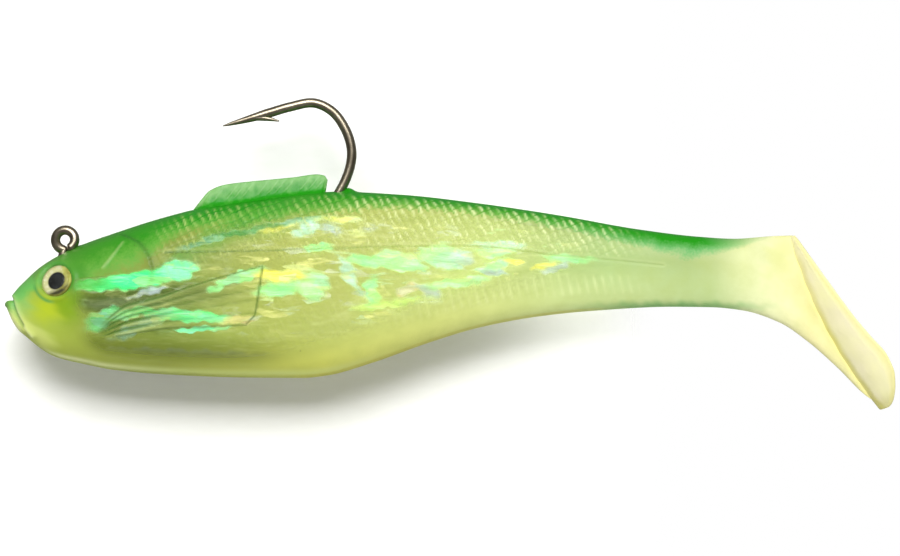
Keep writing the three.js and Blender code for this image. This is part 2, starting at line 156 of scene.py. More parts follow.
back_line = profile(
    (-7.3, -7.7), (-6.6, -6.9), (-5.6, -5.7), (-2.5, -3), (1.6, -0.85), (6.7, 1), (11.7, 2.6),
    (16.6, 3.85), (22.8, 4.8), (29, 5.6), (33.5, 5.95), (41.4, 5.6), (51.3, 4.5), (61.3, 3),
    (71.2, 1.25), (78.6, 0.35), (83, 0.1), (88, 0.5), (90.2, 0.6),
)
belly_line = profile(
    (-7.3, -8.5), (-6.1, -10.5), (-4.6, -12.1), (-1.1, -14.4), (2.5, -15.3), (6, -16), (13, -16.6),
    (22, -16.95), (29.5, -17), (32.5, -16.7), (38, -15.15), (45.2, -12.6), (51.2, -10.8),
    (58.3, -9.45), (65.4, -8.7), (75, -8.2), (80, -8.25), (84, -8.65), (88.5, -10.2), (92.1, -12.65),
    (95.7, -15.85), (99.2, -19.3), (101, -20.4),
)
half_width = profile(
    (-7.3, 1.7), (-4, 3.3), (0, 4.8), (4, 5.7), (9, 6.5), (15, 7), (22, 7.1), (30, 6.8), (38, 5.9),
    (46, 4.8), (54, 3.95), (62, 3.25), (70, 2.65), (78, 2.1), (84, HALF_AT_FAN),
)


def nose_share(x):
    """0 at the nose's tip, 1 once the snout has its full section."""
    t = np.clip((x - NOSE_X) / NOSE_ROUND, 0, 1)
    return np.sqrt(1 - (1 - t) ** 2)


def sections(along_nose, along_trunk, along_fan):
    """The moulding's sections from nose to paddle: top and foot points, half-widths and forward bow."""
    quarter = np.linspace(0.04, 1, along_nose) * math.pi / 2
    nose = NOSE_X + NOSE_ROUND * (1 - np.cos(quarter))
    trunk = np.linspace(NOSE_X + NOSE_ROUND, FAN_X, along_trunk + 1)[1:]
    x = np.concatenate([nose, trunk])
    share = nose_share(x)
    top = np.stack([x, NOSE_Z + (back_line(x) - NOSE_Z) * share], 1)
    foot = np.stack([x, NOSE_Z + (belly_line(x) - NOSE_Z) * share], 1)
    t = np.linspace(0, 1, along_fan + 1)[1:]
    top_x = FAN_X + (FOLD_TOP[0] - FAN_X) * t
    foot_x = FAN_X + (FOLD_FOOT[0] - FAN_X) * t
    top = np.vstack([top, np.stack([top_x, back_line(top_x)], 1)])
    foot = np.vstack([foot, np.stack([foot_x, belly_line(foot_x)], 1)])
    half = np.concatenate([half_width(x) * share, HALF_AT_FAN + (HALF_AT_FOLD - HALF_AT_FAN) * t])
    bow = np.concatenate([np.zeros(len(x)), FOLD_BOW * t])
    return top, foot, half, bow


def loft(top, foot, half, bow, around):
    """Egg-shaped rings through the sections, as an array of rings by points by XYZ."""
    angle = (np.arange(around) / around - 0.25) * 2 * math.pi  # from the foot, so end strips run side to side
    rise = np.sin(angle)
    share = np.where(rise > 0, WIDEST_AT + (1 - WIDEST_AT) * rise, WIDEST_AT * (1 + rise))
    breadth = np.sqrt(np.clip(1 - np.abs(rise) ** FULLNESS, 0, 1)) * np.sign(np.cos(angle))
    plane = foot[:, None] + (top - foot)[:, None] * share[None, :, None]
    plane = plane - (bow[:, None] * np.sin(math.pi * share))[..., None] * FOLD_BACK
    return np.stack([plane[..., 0], half[:, None] * breadth, plane[..., 1]], -1)


def outward(rings):
    """Unit normals of a loft, pointing out."""
    along = np.gradient(rings, axis=0)
    across = np.roll(rings, -1, 1) - np.roll(rings, 1, 1)
    normal = np.cross(across, along)
    normal /= np.linalg.norm(normal, axis=2, keepdims=True) + 1e-9
    middle = rings.mean(1, keepdims=True)
    away = np.sign(((rings - middle) * normal).sum(-1).mean())
    return normal * away


def flank_y(x, z):
    """Half-breadth of the moulding at station x and height z."""
    top = back_line(x)
    foot = belly_line(x)
    middle = foot + WIDEST_AT * (top - foot)
    reach = np.where(z > middle, top - middle, middle - foot)
    q = np.clip(np.abs(z - middle) / reach, 0, 1)
    return half_width(x) * np.sqrt(1 - q**FULLNESS)


# ---- meshes
def add_object(name, data):
    made = bpy.data.objects.new(name, data)
    bpy.context.scene.collection.objects.link(made)
    return made


def grid_faces(rows, columns, closed=True):
    """Quads over rows by columns of points, joined round the columns when closed."""
    i, j = np.meshgrid(np.arange(rows - 1), np.arange(columns if closed else columns - 1), indexing="ij")
    k = (j + 1) % columns
    quads = np.stack([i * columns + j, (i + 1) * columns + j, (i + 1) * columns + k, i * columns + k], -1)
    return quads.reshape(-1, 4)


def end_strips(start, count, turned):
    """Quads that close a ring of count points, between its first half and its second."""
    j = np.arange(count // 2 - 1)
    k = count - 1 - j
    quads = np.stack([j, j + 1, k - 1, k], -1) + start
    return quads[:, ::-1] if turned else quads


def make_piece(name, points, faces, material, slot, **attributes):
    """A smooth-shaded mesh object from points in millimetres, with named values kept on its points."""
    mesh = bpy.data.meshes.new(name)
    flat = np.asarray(points, float).reshape(-1, 3)
    mesh.from_pydata((flat * MM).tolist(), [], faces.tolist() if hasattr(faces, "tolist") else faces)
    mesh.validate()
    add_values(mesh, "rest", flat)
    for key, values in attributes.items():
        add_values(mesh, key, values)
    mesh.shade_smooth()
    mesh.materials.append(material)
    piece = add_object(name, mesh)
    return piece


def add_values(mesh, key, values):
    values = np.asarray(values, np.float32)
    kind, field = {1: ("FLOAT", "value"), 3: ("FLOAT_VECTOR", "vector"), 4: ("FLOAT_COLOR", "color")}[
        1 if values.size == len(mesh.vertices) else values.shape[-1]
    ]
    mesh.attributes.new(key, kind, "POINT").data.foreach_set(field, values.ravel())


def closed_loft(name, rings, material, slot, nodes=(), **attributes):
    """A closed piece over rings of points, with both ends shut, facing out, in place of those CAD nodes."""
    rows, columns = rings.shape[:2]
    faces = np.vstack([
        grid_faces(rows, columns),
        end_strips(0, columns, False),
        end_strips((rows - 1) * columns, columns, True),
    ])
    if signed_volume(rings.reshape(-1, 3), faces) < 0:
        faces = faces[:, ::-1]
    piece = make_piece(name, rings, faces, material, slot, **attributes)
    if nodes:
        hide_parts(*nodes)
    return piece


def signed_volume(points, quads):
    a, b, c, d = (points[quads[:, i]] for i in range(4))
    return (np.cross(a, b) * c).sum() + (np.cross(a, c) * d).sum()


# ---- materials
def linear(colour):
    """The linear values of a colour given as the 0 to 255 values that a screen shows."""
    share = np.array(colour) / 255
    return np.where(share > 0.04045, ((share + 0.055) / 1.055) ** 2.4, share / 12.92)


class Recipe:
    """A material or world being mixed. In any call a number may stand for a node's output."""

    def __init__(self, name, kind="materials"):
        self.owner = getattr(bpy.data, kind).new(name)
        self.owner.use_nodes = True
        self.tree = self.owner.node_tree
        self.tree.nodes.clear()

    def add(self, kind, inputs=None, **settings):
        """Makes a node, and links or sets its inputs by name."""
        node = self.tree.nodes.new("ShaderNode" + kind)
        for key, value in settings.items():
            setattr(node, key, value)
        for key, value in (inputs or {}).items():
            socket = node.inputs[key]
            if isinstance(value, bpy.types.NodeSocket):
                self.tree.links.new(value, socket)
            else:
                socket.default_value = value
        return node

    def kept(self, key):
        """The node that reads a value kept on the mesh's points."""
        return self.add("Attribute", attribute_name=key)

    def value(self, key):
        return self.kept(key).outputs["Fac"]

    def rest(self):
        return self.kept("rest").outputs["Vector"]

    def rest_x(self):
        return self.add("SeparateXYZ", {0: self.rest()}).outputs[0]

    def noise(self, scale, detail=3, stretch=(1, 1, 1), distortion=0):
        """Noise in the object's own millimetres, from 0 to 1. scale is in waves per millimetre."""
        place = self.add("Mapping", {"Vector": self.rest(), "Scale": stretch})
        inputs = {"Vector": place.outputs[0], "Scale": scale, "Detail": detail, "Distortion": distortion}
        return self.add("TexNoise", inputs).outputs["Fac"]

    def arithmetic(self, operation, a, b, clamp=False):
        return self.add("Math", {0: a, 1: b}, operation=operation, use_clamp=clamp).outputs[0]

    times = partialmethod(arithmetic, "MULTIPLY")
    plus = partialmethod(arithmetic, "ADD")
    minus = partialmethod(arithmetic, "SUBTRACT")
    over = partialmethod(arithmetic, "DIVIDE")
    larger = partialmethod(arithmetic, "MAXIMUM")

    def vary(self, noise, amount, base):
        """base, with that amount of a noise on top."""
        return self.plus(self.times(noise, amount), base)

    def ramp(self, factor, *stops):
        """A ramp. Each stop is (place, grey) or (place, red, green, blue)."""
        node = self.add("ValToRGB", {"Fac": factor})
        elements = node.color_ramp.elements
        while len(elements) < len(stops):
            elements.new(0.5)
        for element, (place, *colour) in zip(elements, stops):
            element.position = place
            element.color = (*(linear(colour) if len(colour) == 3 else colour * 3), 1)
        return node.outputs["Color"]

    def mix(self, factor, a, b, blend="MIX"):
        """a, covered by b. b may be a colour of three 0 to 255 values, or of four linear ones."""
        if isinstance(b, tuple) and len(b) == 3:
            b = (*linear(b), 1)
        return self.add("Mix", {"Factor": factor, 6: a, 7: b}, data_type="RGBA", blend_type=blend).outputs[2]

    def tinted(self, base):
        """base, under the strokes kept on the points."""
        tint = self.kept("tint")
        return self.mix(tint.outputs["Alpha"], base, tint.outputs["Color"])

    def bumps(self, height, distance, strength=1):
        inputs = {"Height": height, "Distance": distance * MM, "Strength": strength}
        return self.add("Bump", inputs).outputs[0]

    def partly_clear(self, share, shader):
        """A shader of which that share is see-through."""
        clear = self.add("BsdfTransparent")
        return self.add("MixShader", {0: share, 1: shader.outputs[0], 2: clear.outputs[0]})

    def finish(self, shader, output="OutputMaterial"):
        self.tree.links.new(shader.outputs[0], self.add(output).inputs["Surface"])
        return self.owner

    def principled(self, colour, roughness, **inputs):
        """The finished material. An underscore in an input's name stands for a space."""
        sockets = {key.replace("_", " "): value for key, value in inputs.items()}
        sockets |= {"Base Color": colour, "Roughness": roughness}
        return self.finish(self.add("BsdfPrincipled", sockets))


def soft_plastic(name, colour_of, alpha_of, roughness=0.34):
    """Glossy translucent plastisol: a tinted skin with fine mould texture, that lets light through."""
    r = Recipe(name)
    grain = r.noise(2.2, 4)
    fine = r.noise(9, 2)
    height = r.vary(grain, 0.7, r.times(fine, 0.3))
    return r.principled(
        colour_of(r), r.vary(grain, 0.22, roughness - 0.08), Alpha=alpha_of(r),
        Normal=r.bumps(height, 0.05, 0.6), IOR=1.42, Specular_IOR_Level=0.24, Coat_Weight=0.04,
        Coat_Roughness=0.15,
    )


BACK_GREEN = (26, 136, 10)
HEAD_GREEN = (58, 132, 30)
TEAL = (120, 186, 120)
# Colour of the painted shade in grooves and creases.
CREASE_SHADE_GREEN = (38, 88, 34)
# Colour of the painted highlights.
PAINTED_HIGHLIGHT = (236, 242, 184)


def flank_paint(r):
    """The plastic's colour along and down the bait, before any spray, with painted shade darkening the upper
    flank.
    """
    cloud = r.noise(0.45, 3)
    along = r.over(r.plus(r.rest_x(), 8), 100)  # 0 just ahead of the nose, 1 on the web of the tail
    flank = r.ramp(
        along, (0, 146, 172, 96), (0.06, 146, 170, 44), (0.11, 122, 142, 48),
        (0.24, 132, 152, 68), (0.34, 172, 182, 92), (0.46, 190, 200, 116),
        (0.62, 188, 202, 124), (0.74, 162, 186, 120), (0.85, 152, 172, 112), (0.885, 168, 182, 122),
        (0.92, 204, 210, 152), (0.955, 223, 225, 178), (1, 220, 214, 156),
    )
    under = r.ramp(
        along, (0, 184, 198, 108), (0.08, 164, 176, 74), (0.2, 154, 162, 70),
        (0.3, 180, 186, 80), (0.4, 204, 206, 92), (0.55, 212, 216, 126),
        (0.7, 204, 218, 148), (0.88, 182, 202, 142), (0.955, 226, 228, 180),
        (1, 222, 216, 160),
    )
    lift = r.value("lift")
    # Painted shade: the upper flank, ahead of the rear, is multiplied darker.
    upper = r.times(r.ramp(r.over(lift, 20), (0.25, 0), (0.5, 1)),
                   r.ramp(along, (0.46, 1), (0.6, 0.35)))
    flank = r.mix(upper, flank, (0.8, 0.78, 0.7, 1), "MULTIPLY")
    low = r.ramp(r.over(lift, 6), (0, 1), (0.9, 0))
    flank = r.mix(low, flank, under)
    return along, r.mix(r.ramp(cloud, (0.35, 0), (0.7, 0.22)), flank, (160, 174, 84))


def speckled(r, colour):
    """Grit caught in the plastic: a dark dot in some cells of a coarse mosaic."""
    cells = r.add("TexVoronoi", {"Vector": r.rest(), "Scale": 0.3})
    dots = r.ramp(cells.outputs["Distance"], (0.02, 1), (0.036, 0))
    chosen = r.ramp(r.add("SeparateColor", {0: cells.outputs["Color"]}).outputs[0], (0.58, 0), (0.7, 0.75))
    return r.mix(r.times(dots, chosen), colour, (70, 96, 40))


def skin_colour(r):
    along, flank = flank_paint(r)
    specks, cloud = r.noise(3.5, 2), r.noise(0.6, 3)
    ragged = r.vary(specks, 0.35, r.times(cloud, 0.5))
    sprayed = r.plus(r.value("band"), r.minus(ragged, 0.42))
    haze_tint = r.ramp(along, (0.6, 122, 178, 78), (0.8, *TEAL))
    haze_cover = r.times(r.ramp(sprayed, (0.6, 0.8), (2, 0)), r.ramp(along, (0.88, 1), (0.96, 0)))
    haze = r.mix(haze_cover, flank, haze_tint)
    paint = r.ramp(along, (0.03, 104, 156, 70), (0.1, *HEAD_GREEN), (0.24, *BACK_GREEN))
    sprayed_cover = r.ramp(sprayed, (0.25, 1), (0.55, 0.66), (1.1, 0))
    faded = r.times(sprayed_cover, r.ramp(along, (0.87, 1), (0.94, 0)))
    painted = r.mix(faded, haze, paint)
    # Painted highlights: the glow kept on the points lightens the skin towards these colours.
    glow = r.ramp(along, (0.1, *PAINTED_HIGHLIGHT), (0.22, 204, 218, 134), (0.38, 208, 220, 140), (0.5, *PAINTED_HIGHLIGHT),
                  (0.85, *PAINTED_HIGHLIGHT), (0.95, 246, 238, 160))
    painted = r.mix(r.value("glow"), painted, glow)
    painted = r.mix(r.value("olive"), painted, (196, 188, 78))
    painted = r.tinted(painted)
    # Painted shade: grooves and creases are darkened towards these greens.
    line = r.ramp(along, (0.08, 52, 140, 76), (0.13, *CREASE_SHADE_GREEN), (0.3, *CREASE_SHADE_GREEN), (0.5, 128, 152, 66))
    return speckled(r, r.mix(r.value("ink"), painted, line))


def past_shadow_rays(r, share):
    """1 where a piece blocks light, less where that share of the shadow rays passes it."""
    return r.minus(1, r.times(r.add("LightPath").outputs["Is Shadow Ray"], share))


def skin_alpha(r):
    """Clear over the foil. Shadow rays pass where there is flesh below, so that it stays lit."""
    streaks = r.noise(0.8, 3, stretch=(0.5, 1, 2))
    clear = r.times(r.value("window"), r.vary(streaks, 0.3, 0.82))
    cover = r.minus(1, clear, clamp=True)
    return r.times(cover, past_shadow_rays(r, r.value("filled")))


def tail_colour(r):
    cloud = r.noise(0.25, 2)
    pale = r.ramp(cloud, (0.3, 245, 241, 188), (0.7, 242, 235, 198))
    rim = r.mix(r.value("rim"), pale, (222, 216, 134))
    return speckled(r, r.mix(r.value("crease"), rim, (218, 212, 112)))


def tail_alpha(r):
    cover = r.ramp(r.noise(0.3, 2), (0.3, 0.86), (0.7, 0.94))
    return r.times(cover, past_shadow_rays(r, 0.6))


# ---- skin
LATERAL_LINE = rounded([(13, -1.9), (24, -1.75), (36, -1.3), (44.4, -1.05), (52.8, -1.1), (60, -2),
                        (66, -2.5), (74, -3.3)])
MOUTH = rounded([(-7.4, -7.3), (-6.4, -7.35), (-6.05, -8.3), (-5.6, -9.4), (-4.95, -10.6)])
UPPER_LIP = rounded([(-6.1, -7.2), (-5.6, -8.7), (-4.7, -10.6), (-3.7, -11.9)])
LOWER_LIP = rounded([(-7, -8.1), (-6.75, -8.8), (-6.1, -10), (-5.3, -11.2)])
GILL = rounded([(7.6, 0.3), (9.7, -0.8), (11, -2.6), (11.4, -4.4), (10.9, -6.6), (9.4, -8.9),
                (6.9, -11.2), (4.2, -13)])
SCRATCH = rounded([(5.2, -3.7), (7.6, -0.7)])
EYE = np.array([-0.72, -5.15])
fin_upper = profile(
    (3.4, -12.2), (5, -10.9), (6.6, -9.5), (8.4, -8.4), (10.4, -7.9), (12.7, -7.3), (14.4, -6.7),
    (18.4, -5.4), (24.9, -3.6),
)
fin_lower = profile((3.4, -12.7), (8, -11.9), (13.5, -11.1), (20, -10.9), (23.9, -10.6))
FIN_GROOVES = (0.2, 0.43, 0.62, 0.8)
SCALE_PITCH, UPRIGHT_PITCH = 1.06, 1.07


class Relief:
    """Height in millimetres, and from 0 to 1 the painted shade in grooves and creases, the painted highlight
    and the paint, gathered over the skin.
    """

    def __init__(self, points, top, foot):
        self.x, self.y, self.z = points[..., 0], points[..., 1], points[..., 2]
        self.share = (self.z - foot) / (top - foot)
        self.flank = smooth(0.2, 0.55, np.abs(self.y) / (half_width(self.x) + 1e-6))
        self.height, self.ink, self.glow, self.paint = np.zeros((4, *self.x.shape))

    def add(self, height=0, ink=0, glow=0, on=1):
        """Adds a feature's height, and keeps the strongest painted shade and painted highlight, as far as
        they are on that area.
        """
        self.height += height * on
        self.ink = np.maximum(self.ink, ink * on)
        self.glow = np.maximum(self.glow, glow * on)

    def pectoral_fin(self):
        x = self.x
        span = fin_upper(x) - fin_lower(x)
        above = self.z - fin_lower(x)
        below = span - above
        f = above / span
        end = 23.8 + 1.1 * np.clip(f, 0, 1) - 0.9 * bump(f, 0.1)
        root = smooth(17, 9, x)
        groove = sum(bump(above - at * span, 0.13 + 0.08 * root) for at in FIN_GROOVES)

        def between(soft):
            return smooth(-soft, soft, above) * smooth(-soft, soft, below)

        inside = between(0.14) * smooth(3.4, 9, x) * smooth(end + 0.14, end - 0.14, x) * self.flank
        web = inside * (1 - np.clip(1.5 * groove, 0, 1))
        # The fin's web gets a painted highlight.
        self.add(inside * (0.34 - 0.16 * groove), glow=web * (0.18 + 0.24 * root) * smooth(4.5, 7, x))
        # Painted shade along the fin's edges, at its tip and in the grooves between its rays.
        upper = 0.8 * bump(below, 0.15 + 0.15 * root) * smooth(4, 7, x)
        lower = 0.6 * bump(above, 0.16) * smooth(4, 8, x)
        tip = 0.85 * bump(x - end, 0.17) * smooth(-0.03, 0.03, f) * smooth(-0.03, 0.03, 1 - f)
        rays = (0.42 + 0.42 * root) * between(0.1) * (x < end) * groove * smooth(3.8, 6.5, x)
        for ink in (np.maximum(upper, lower) * (x < end + 0.1), tip, rays):
            self.add(ink=ink, on=self.flank)
        return inside

    def scales(self, bare):
        """Slanted scales over the back and upper flank, and upright ones low on the rear flank. Their creases
        get painted shade, as dark lines and deeper green, and their edges get painted highlights.
        """
        x, z, share = self.x, self.z, self.share
        sway = 0.14 * np.sin(0.9 * x + 0.5 * z) + 0.08 * np.sin(2.3 * x - 1.9 * z)
        u = ((x + 0.55 * z + sway) / SCALE_PITCH) % 1
        v = ((0.45 * x - z - sway) / SCALE_PITCH) % 1
        bare = bare * self.flank
        upper = smooth(10, 16, x) * smooth(74, 62, x) * smooth(0.52, 0.7, share) * bare
        wide = smooth(14, 25, x) * smooth(64, 52, x) * smooth(0.1, 0.25, share) * bare
        worn = 0.65 + 0.2 * np.sin(1.7 * x + 0.6 * z) + 0.25 * np.sin(0.8 * x - 2.2 * z)
        tooth = smooth(0, 0.16, v) * smooth(1, 0.84, v)
        rise = (0.14 * upper + 0.07 * wide) * tooth * smooth(0.08, 0.3, u) * smooth(1.08, 0.3, u)
        # crease is painted shade along each scale's edge, and shine is a painted highlight just behind it.
        crease = np.maximum(bump(u - 0.08, 0.09), 0.5 * (1 - tooth)) * worn
        shine = np.maximum(upper * (0.5 + 0.14 * smooth(26, 40, x)), 0.2 * wide) * tooth * worn
        self.add(rise, crease * (0.3 * upper + 0.2 * wide), shine * bump(u - 0.34, 0.15))
        self.paint = 0.34 * crease * upper
        # Painted highlights on the upright scales low on the rear flank.
        bar = 0.5 + 0.5 * np.cos(2 * math.pi * (x + 0.25 * z) / UPRIGHT_PITCH)
        lower = smooth(36, 44, x) * smooth(74, 66, x) * smooth(0.14, 0.2, share) * smooth(0.42, 0.34, share)
        self.add(0.05 * bar, glow=0.26 * bar**3 * worn, on=lower * self.flank)

    def gill_cover(self):
        gap, side = distance_to(GILL, self.x, self.z)
        high = smooth(-7.5, -3.5, self.z)
        swell = np.where(side < 0, 0.3 * np.exp(-gap / 2), 0) * smooth(-14, -9, self.z)
        # Painted shade along the gill cover's edge.
        ink = np.maximum(0.42 * bump(gap, 0.36) * high, 0.2 * bump(gap, 0.2) * (1 - high))
        self.add(swell, ink, on=self.flank)
        # A raised scratch with a painted highlight along it.
        gap, _ = distance_to(SCRATCH, self.x, self.z)
        self.add(0.1 * bump(gap, 0.14), glow=0.17 * bump(gap, 0.16), on=self.flank)

    def lateral_line(self):
        gap, side = distance_to(LATERAL_LINE, self.x, self.z)
        # Painted shade in the line's groove, and a painted highlight along one side of it.
        ink = 0.75 * bump(gap, 0.13) * smooth(73, 58, self.x)
        glow = 0.3 * bump(gap * side - 0.32, 0.16) * (1 - 0.7 * smooth(54, 64, self.x))
        self.add(-0.09 * bump(gap, 0.16), ink, glow, on=self.flank)

    def mouth(self):
        # Painted shade in the mouth's groove, and painted highlights on both lips.
        gap, side = distance_to(MOUTH, self.x, self.z)
        lower_lip = 0.2 * bump(gap - 0.6, 0.4) * (side < 0)
        self.add(lower_lip - 0.5 * bump(gap, 0.22), 0.45 * bump(gap, 0.2))
        gap, _ = distance_to(UPPER_LIP, self.x, self.z)
        self.add(0.26 * bump(gap, 0.32), glow=0.55 * bump(gap, 0.22))
        gap, _ = distance_to(LOWER_LIP, self.x, self.z)
        self.add(glow=0.55 * bump(gap, 0.3) * smooth(-8.2, -9, self.z))

    def eye_socket(self):
        """A pit for the eye in a raised rim, with a fold below and ahead of it, and painted shade in that
        fold and round the pit's edge.
        """
        dx, dz = EYE[0] - self.x, EYE[1] - self.z
        reach = np.hypot(dx, dz)
        rim = reach - EYE_R
        height = 0.14 * bump(rim - 0.4, 0.3) - 0.55 * smooth(0.07, -0.15, rim)
        under = smooth(0.7, 0.95, (0.643 * dx + 0.766 * dz) / np.maximum(reach, 0.1))
        ink = np.maximum(0.8 * bump(rim - 0.72, 0.19) * under, 0.25 * bump(rim - 0.12, 0.14))
        self.add(height, ink, on=self.flank)

    def seams_and_lumps(self):
        """The mould's seam, the plastic drawn up round the wire at the bend and at the neck, and a painted
        highlight along the keel.
        """
        x, y, z = self.x, self.y, self.z
        seam = 0.08 * bump(y, 0.13) * smooth(-6, -3, x) * smooth(90, 84, x)
        bend = 0.5 * bump(np.hypot(x - 35.1, y), 0.75) * (z > 0)
        neck = 0.22 * bump(np.hypot(x - 0.9, y), 0.8) * (z > -3.5)
        # Painted highlight: a bright line along the keel.
        keel = 0.6 * bump(self.share - 0.02, 0.018) * smooth(-4, 0, x) * smooth(42, 26, x)
        self.add(seam + bend + neck, glow=keel)


band_depth = profile(
    (-8, 3), (-4, 2.8), (-2, 3.6), (1, 5.8), (4, 6.6), (8, 6.6), (11, 5.5), (14, 3.7), (18, 3.3), (24, 3.5),
    (30, 3.6), (35, 3.1), (40, 2.2), (50, 1.8), (60, 1.8), (70, 2.3), (77, 3), (82, 1.7), (85, 0.8),
    (88, 0.1),
)


window_top = profile(
    (0, -5.2), (3, -4.9), (8, -4.5), (11, -3.9), (13, -2.9), (14.5, -1.4), (16, -0.4), (20, 1), (26, 2.4),
    (30, 3.1), (40, 3.3), (50, 2.7), (60, 1.5), (72, -0.5),
)


def clear_window(x, z, lift):
    """How clear the skin is over the foil, between the sprayed back and the belly."""
    front = x - 0.22 * (-5 - z) + 0.3 * np.sin(1.4 * z)
    along = smooth(0.2, 3.6, front) * smooth(74, 56, x)
    fade = 0.4 + 1.6 * smooth(9, 16, x)
    rear = smooth(22, 34, x)
    above_belly = smooth(0.4 + 1.6 * rear, 3.6 + 2.4 * rear, lift)
    return 0.84 * along * above_belly * smooth(0, fade, window_top(x) + 0.4 * fade - z)


THIN_PASS = 0.8


def make_skin(material):
    along_fan = 60
    top, foot, half, bow = sections(16, 440, along_fan)
    rings = loft(top, foot, half, bow, 320)
    high, low = top[:, None, 1], foot[:, None, 1]
    x, z = rings[..., 0], rings[..., 2]
    band = (high - z) / band_depth(x)
    relief = Relief(rings, high, low)
    fin = relief.pectoral_fin()
    relief.scales(1 - np.clip(4 * fin, 0, 1))
    relief.gill_cover()
    relief.lateral_line()
    relief.mouth()
    relief.eye_socket()
    relief.seams_and_lumps()
    shaped = rings + outward(rings) * relief.height[..., None]
    window = clear_window(x, z, z - low) * (1 - relief.ink) * np.clip(1 - 1.3 * relief.glow, 0, 1)
    fold_share = np.zeros(x.shape)
    fold_share[-along_fan:] = np.linspace(0, 1, along_fan)[:, None]
    # Painted highlight: a pale band on the tail just ahead of the fold.
    relief.add(glow=0.8 * bump(fold_share - 0.92, 0.05) * smooth(0.3, -2, z))
    lift = z - low
    through_flesh = smooth(-2, 0.5, x) * smooth(78, 66, x) * smooth(2, 3.6, lift)
    fold_line = bump(fold_share - 0.985, 0.018) * smooth(-3, -8, z)
    belly_edge = 0.55 * bump(lift - 0.1, 0.13) * smooth(26, 32, x) * smooth(70, 62, x)
    return closed_loft(
        "soft_skin", shaped, material, "soft_body", ["soft_body", "tail_stem"],
        band=band - relief.paint * smooth(1.8, 1.2, band), lift=lift, ink=relief.ink, glow=relief.glow,
        window=window, tint=painted(SKIN_HUES_AND_SHADE, rings, 0.8),
        filled=np.maximum(through_flesh, THIN_PASS * smooth(40, 66, x)),
        olive=np.maximum(fold_line, belly_edge),
    )


# ---- core and foil
def flesh_colour(r):
    _, base = flank_paint(r)
    fibres = r.noise(1.1, 5, stretch=(0.3, 1, 1.5), distortion=0.8)
    base = r.tinted(base)
    rear = r.ramp(r.over(r.rest_x(), 40), (0.3, 0.3), (0.8, 1))
    pale = r.times(r.ramp(fibres, (0.52, 0), (0.66, 0.4)), rear)
    base = r.mix(r.times(pale, 0.6), base, (228, 234, 170))
    return r.mix(r.ramp(fibres, (0.34, 0.2), (0.46, 0)), base, (140, 154, 66))


def flesh_material():
    r = Recipe("flesh")
    return r.principled(
        flesh_colour(r), r.vary(r.noise(1, 2), 0.2, 0.5), Specular_IOR_Level=0.2,
        Alpha=past_shadow_rays(r, r.value("thin")),
    )


def foil_facets(r, scale, stretch):
    """Broken flakes: two random values for each cell of a stretched, wavering mosaic."""
    place = r.add("Mapping", {"Vector": r.rest(), "Scale": stretch})
    waver = r.add("TexNoise", {"Vector": place.outputs[0], "Scale": 0.7, "Detail": 3})
    shifted = r.add("VectorMath", {0: waver.outputs["Color"], 1: (0.5, 0.5, 0.5)}, operation="SUBTRACT")
    scaled = r.add("VectorMath", {0: shifted.outputs[0], "Scale": 1.6}, operation="SCALE")
    moved = r.add("VectorMath", {0: place.outputs[0], 1: scaled.outputs[0]}, operation="ADD")
    cells = r.add("TexVoronoi", {"Vector": moved.outputs[0], "Scale": scale})
    parts = r.add("SeparateColor", {0: cells.outputs["Color"]})
    return parts.outputs[0], parts.outputs[1]


def foil_material():
    """Crumpled iridescent film: flakes of the flash's hue, each turned a little towards another hue. The
    flashes are painted reflections, and the crumples get a painted highlight.
    """
    r = Recipe("iridescent_foil")
    flash = r.kept("tint")
    turn, hue = foil_facets(r, 0.9, (0.42, 1, 1.15))
    crease = r.noise(0.8, 5, stretch=(0.35, 1, 2), distortion=1)
    spread = r.times(r.minus(turn, 0.5), 0.2)
    cover = r.plus(flash.outputs["Alpha"], spread)
    cover = r.plus(cover, r.times(r.minus(crease, 0.5), 0.75))
    begun = r.ramp(flash.outputs["Alpha"], (0.02, 0), (0.4, 1))
    cover = r.times(r.ramp(cover, (0.1, 0), (0.95, 1)), begun)
    stray = r.times(r.ramp(turn, (0.62, 0), (0.8, 0.34)), r.ramp(crease, (0.45, 0), (0.6, 1)))
    stray = r.times(stray, r.value("inner"))
    # Painted highlight: the foil paled along its crumples.
    paled = r.mix(r.ramp(crease, (0.52, 0), (0.72, 0.4)), flash.outputs["Color"], (206, 252, 200))
    shifted = r.mix(r.ramp(hue, (0.7, 0), (0.86, 0.3)), paled, (236, 240, 130))
    shifted = r.mix(r.ramp(hue, (0.1, 0.3), (0.24, 0)), shifted, (150, 206, 206))
    faint = r.ramp(hue, (0.3, 206, 216, 190), (0.5, 196, 244, 176), (0.75, 240, 238, 150))
    colour = r.mix(begun, faint, shifted)
    alpha = r.larger(cover, stray)
    alpha = r.times(alpha, past_shadow_rays(r, 1))
    return r.principled(
        colour, r.vary(crease, 0.25, 0.25), Metallic=r.times(turn, 0.15), Alpha=alpha,
        Normal=r.bumps(crease, 0.3, 0.6),
    )


CYAN = (14, 255, 150)
SEA = (120, 250, 180)
LEAF = (64, 200, 84)
MINT = (146, 248, 156)
PALE = (178, 240, 164)
ICE = (186, 226, 196)
LEMON = (246, 234, 84)
LIME = (204, 234, 124)
LILAC = (176, 192, 200)
ROSE = (220, 200, 140)
STEEL = (90, 104, 76)
MOSS = (56, 78, 22)
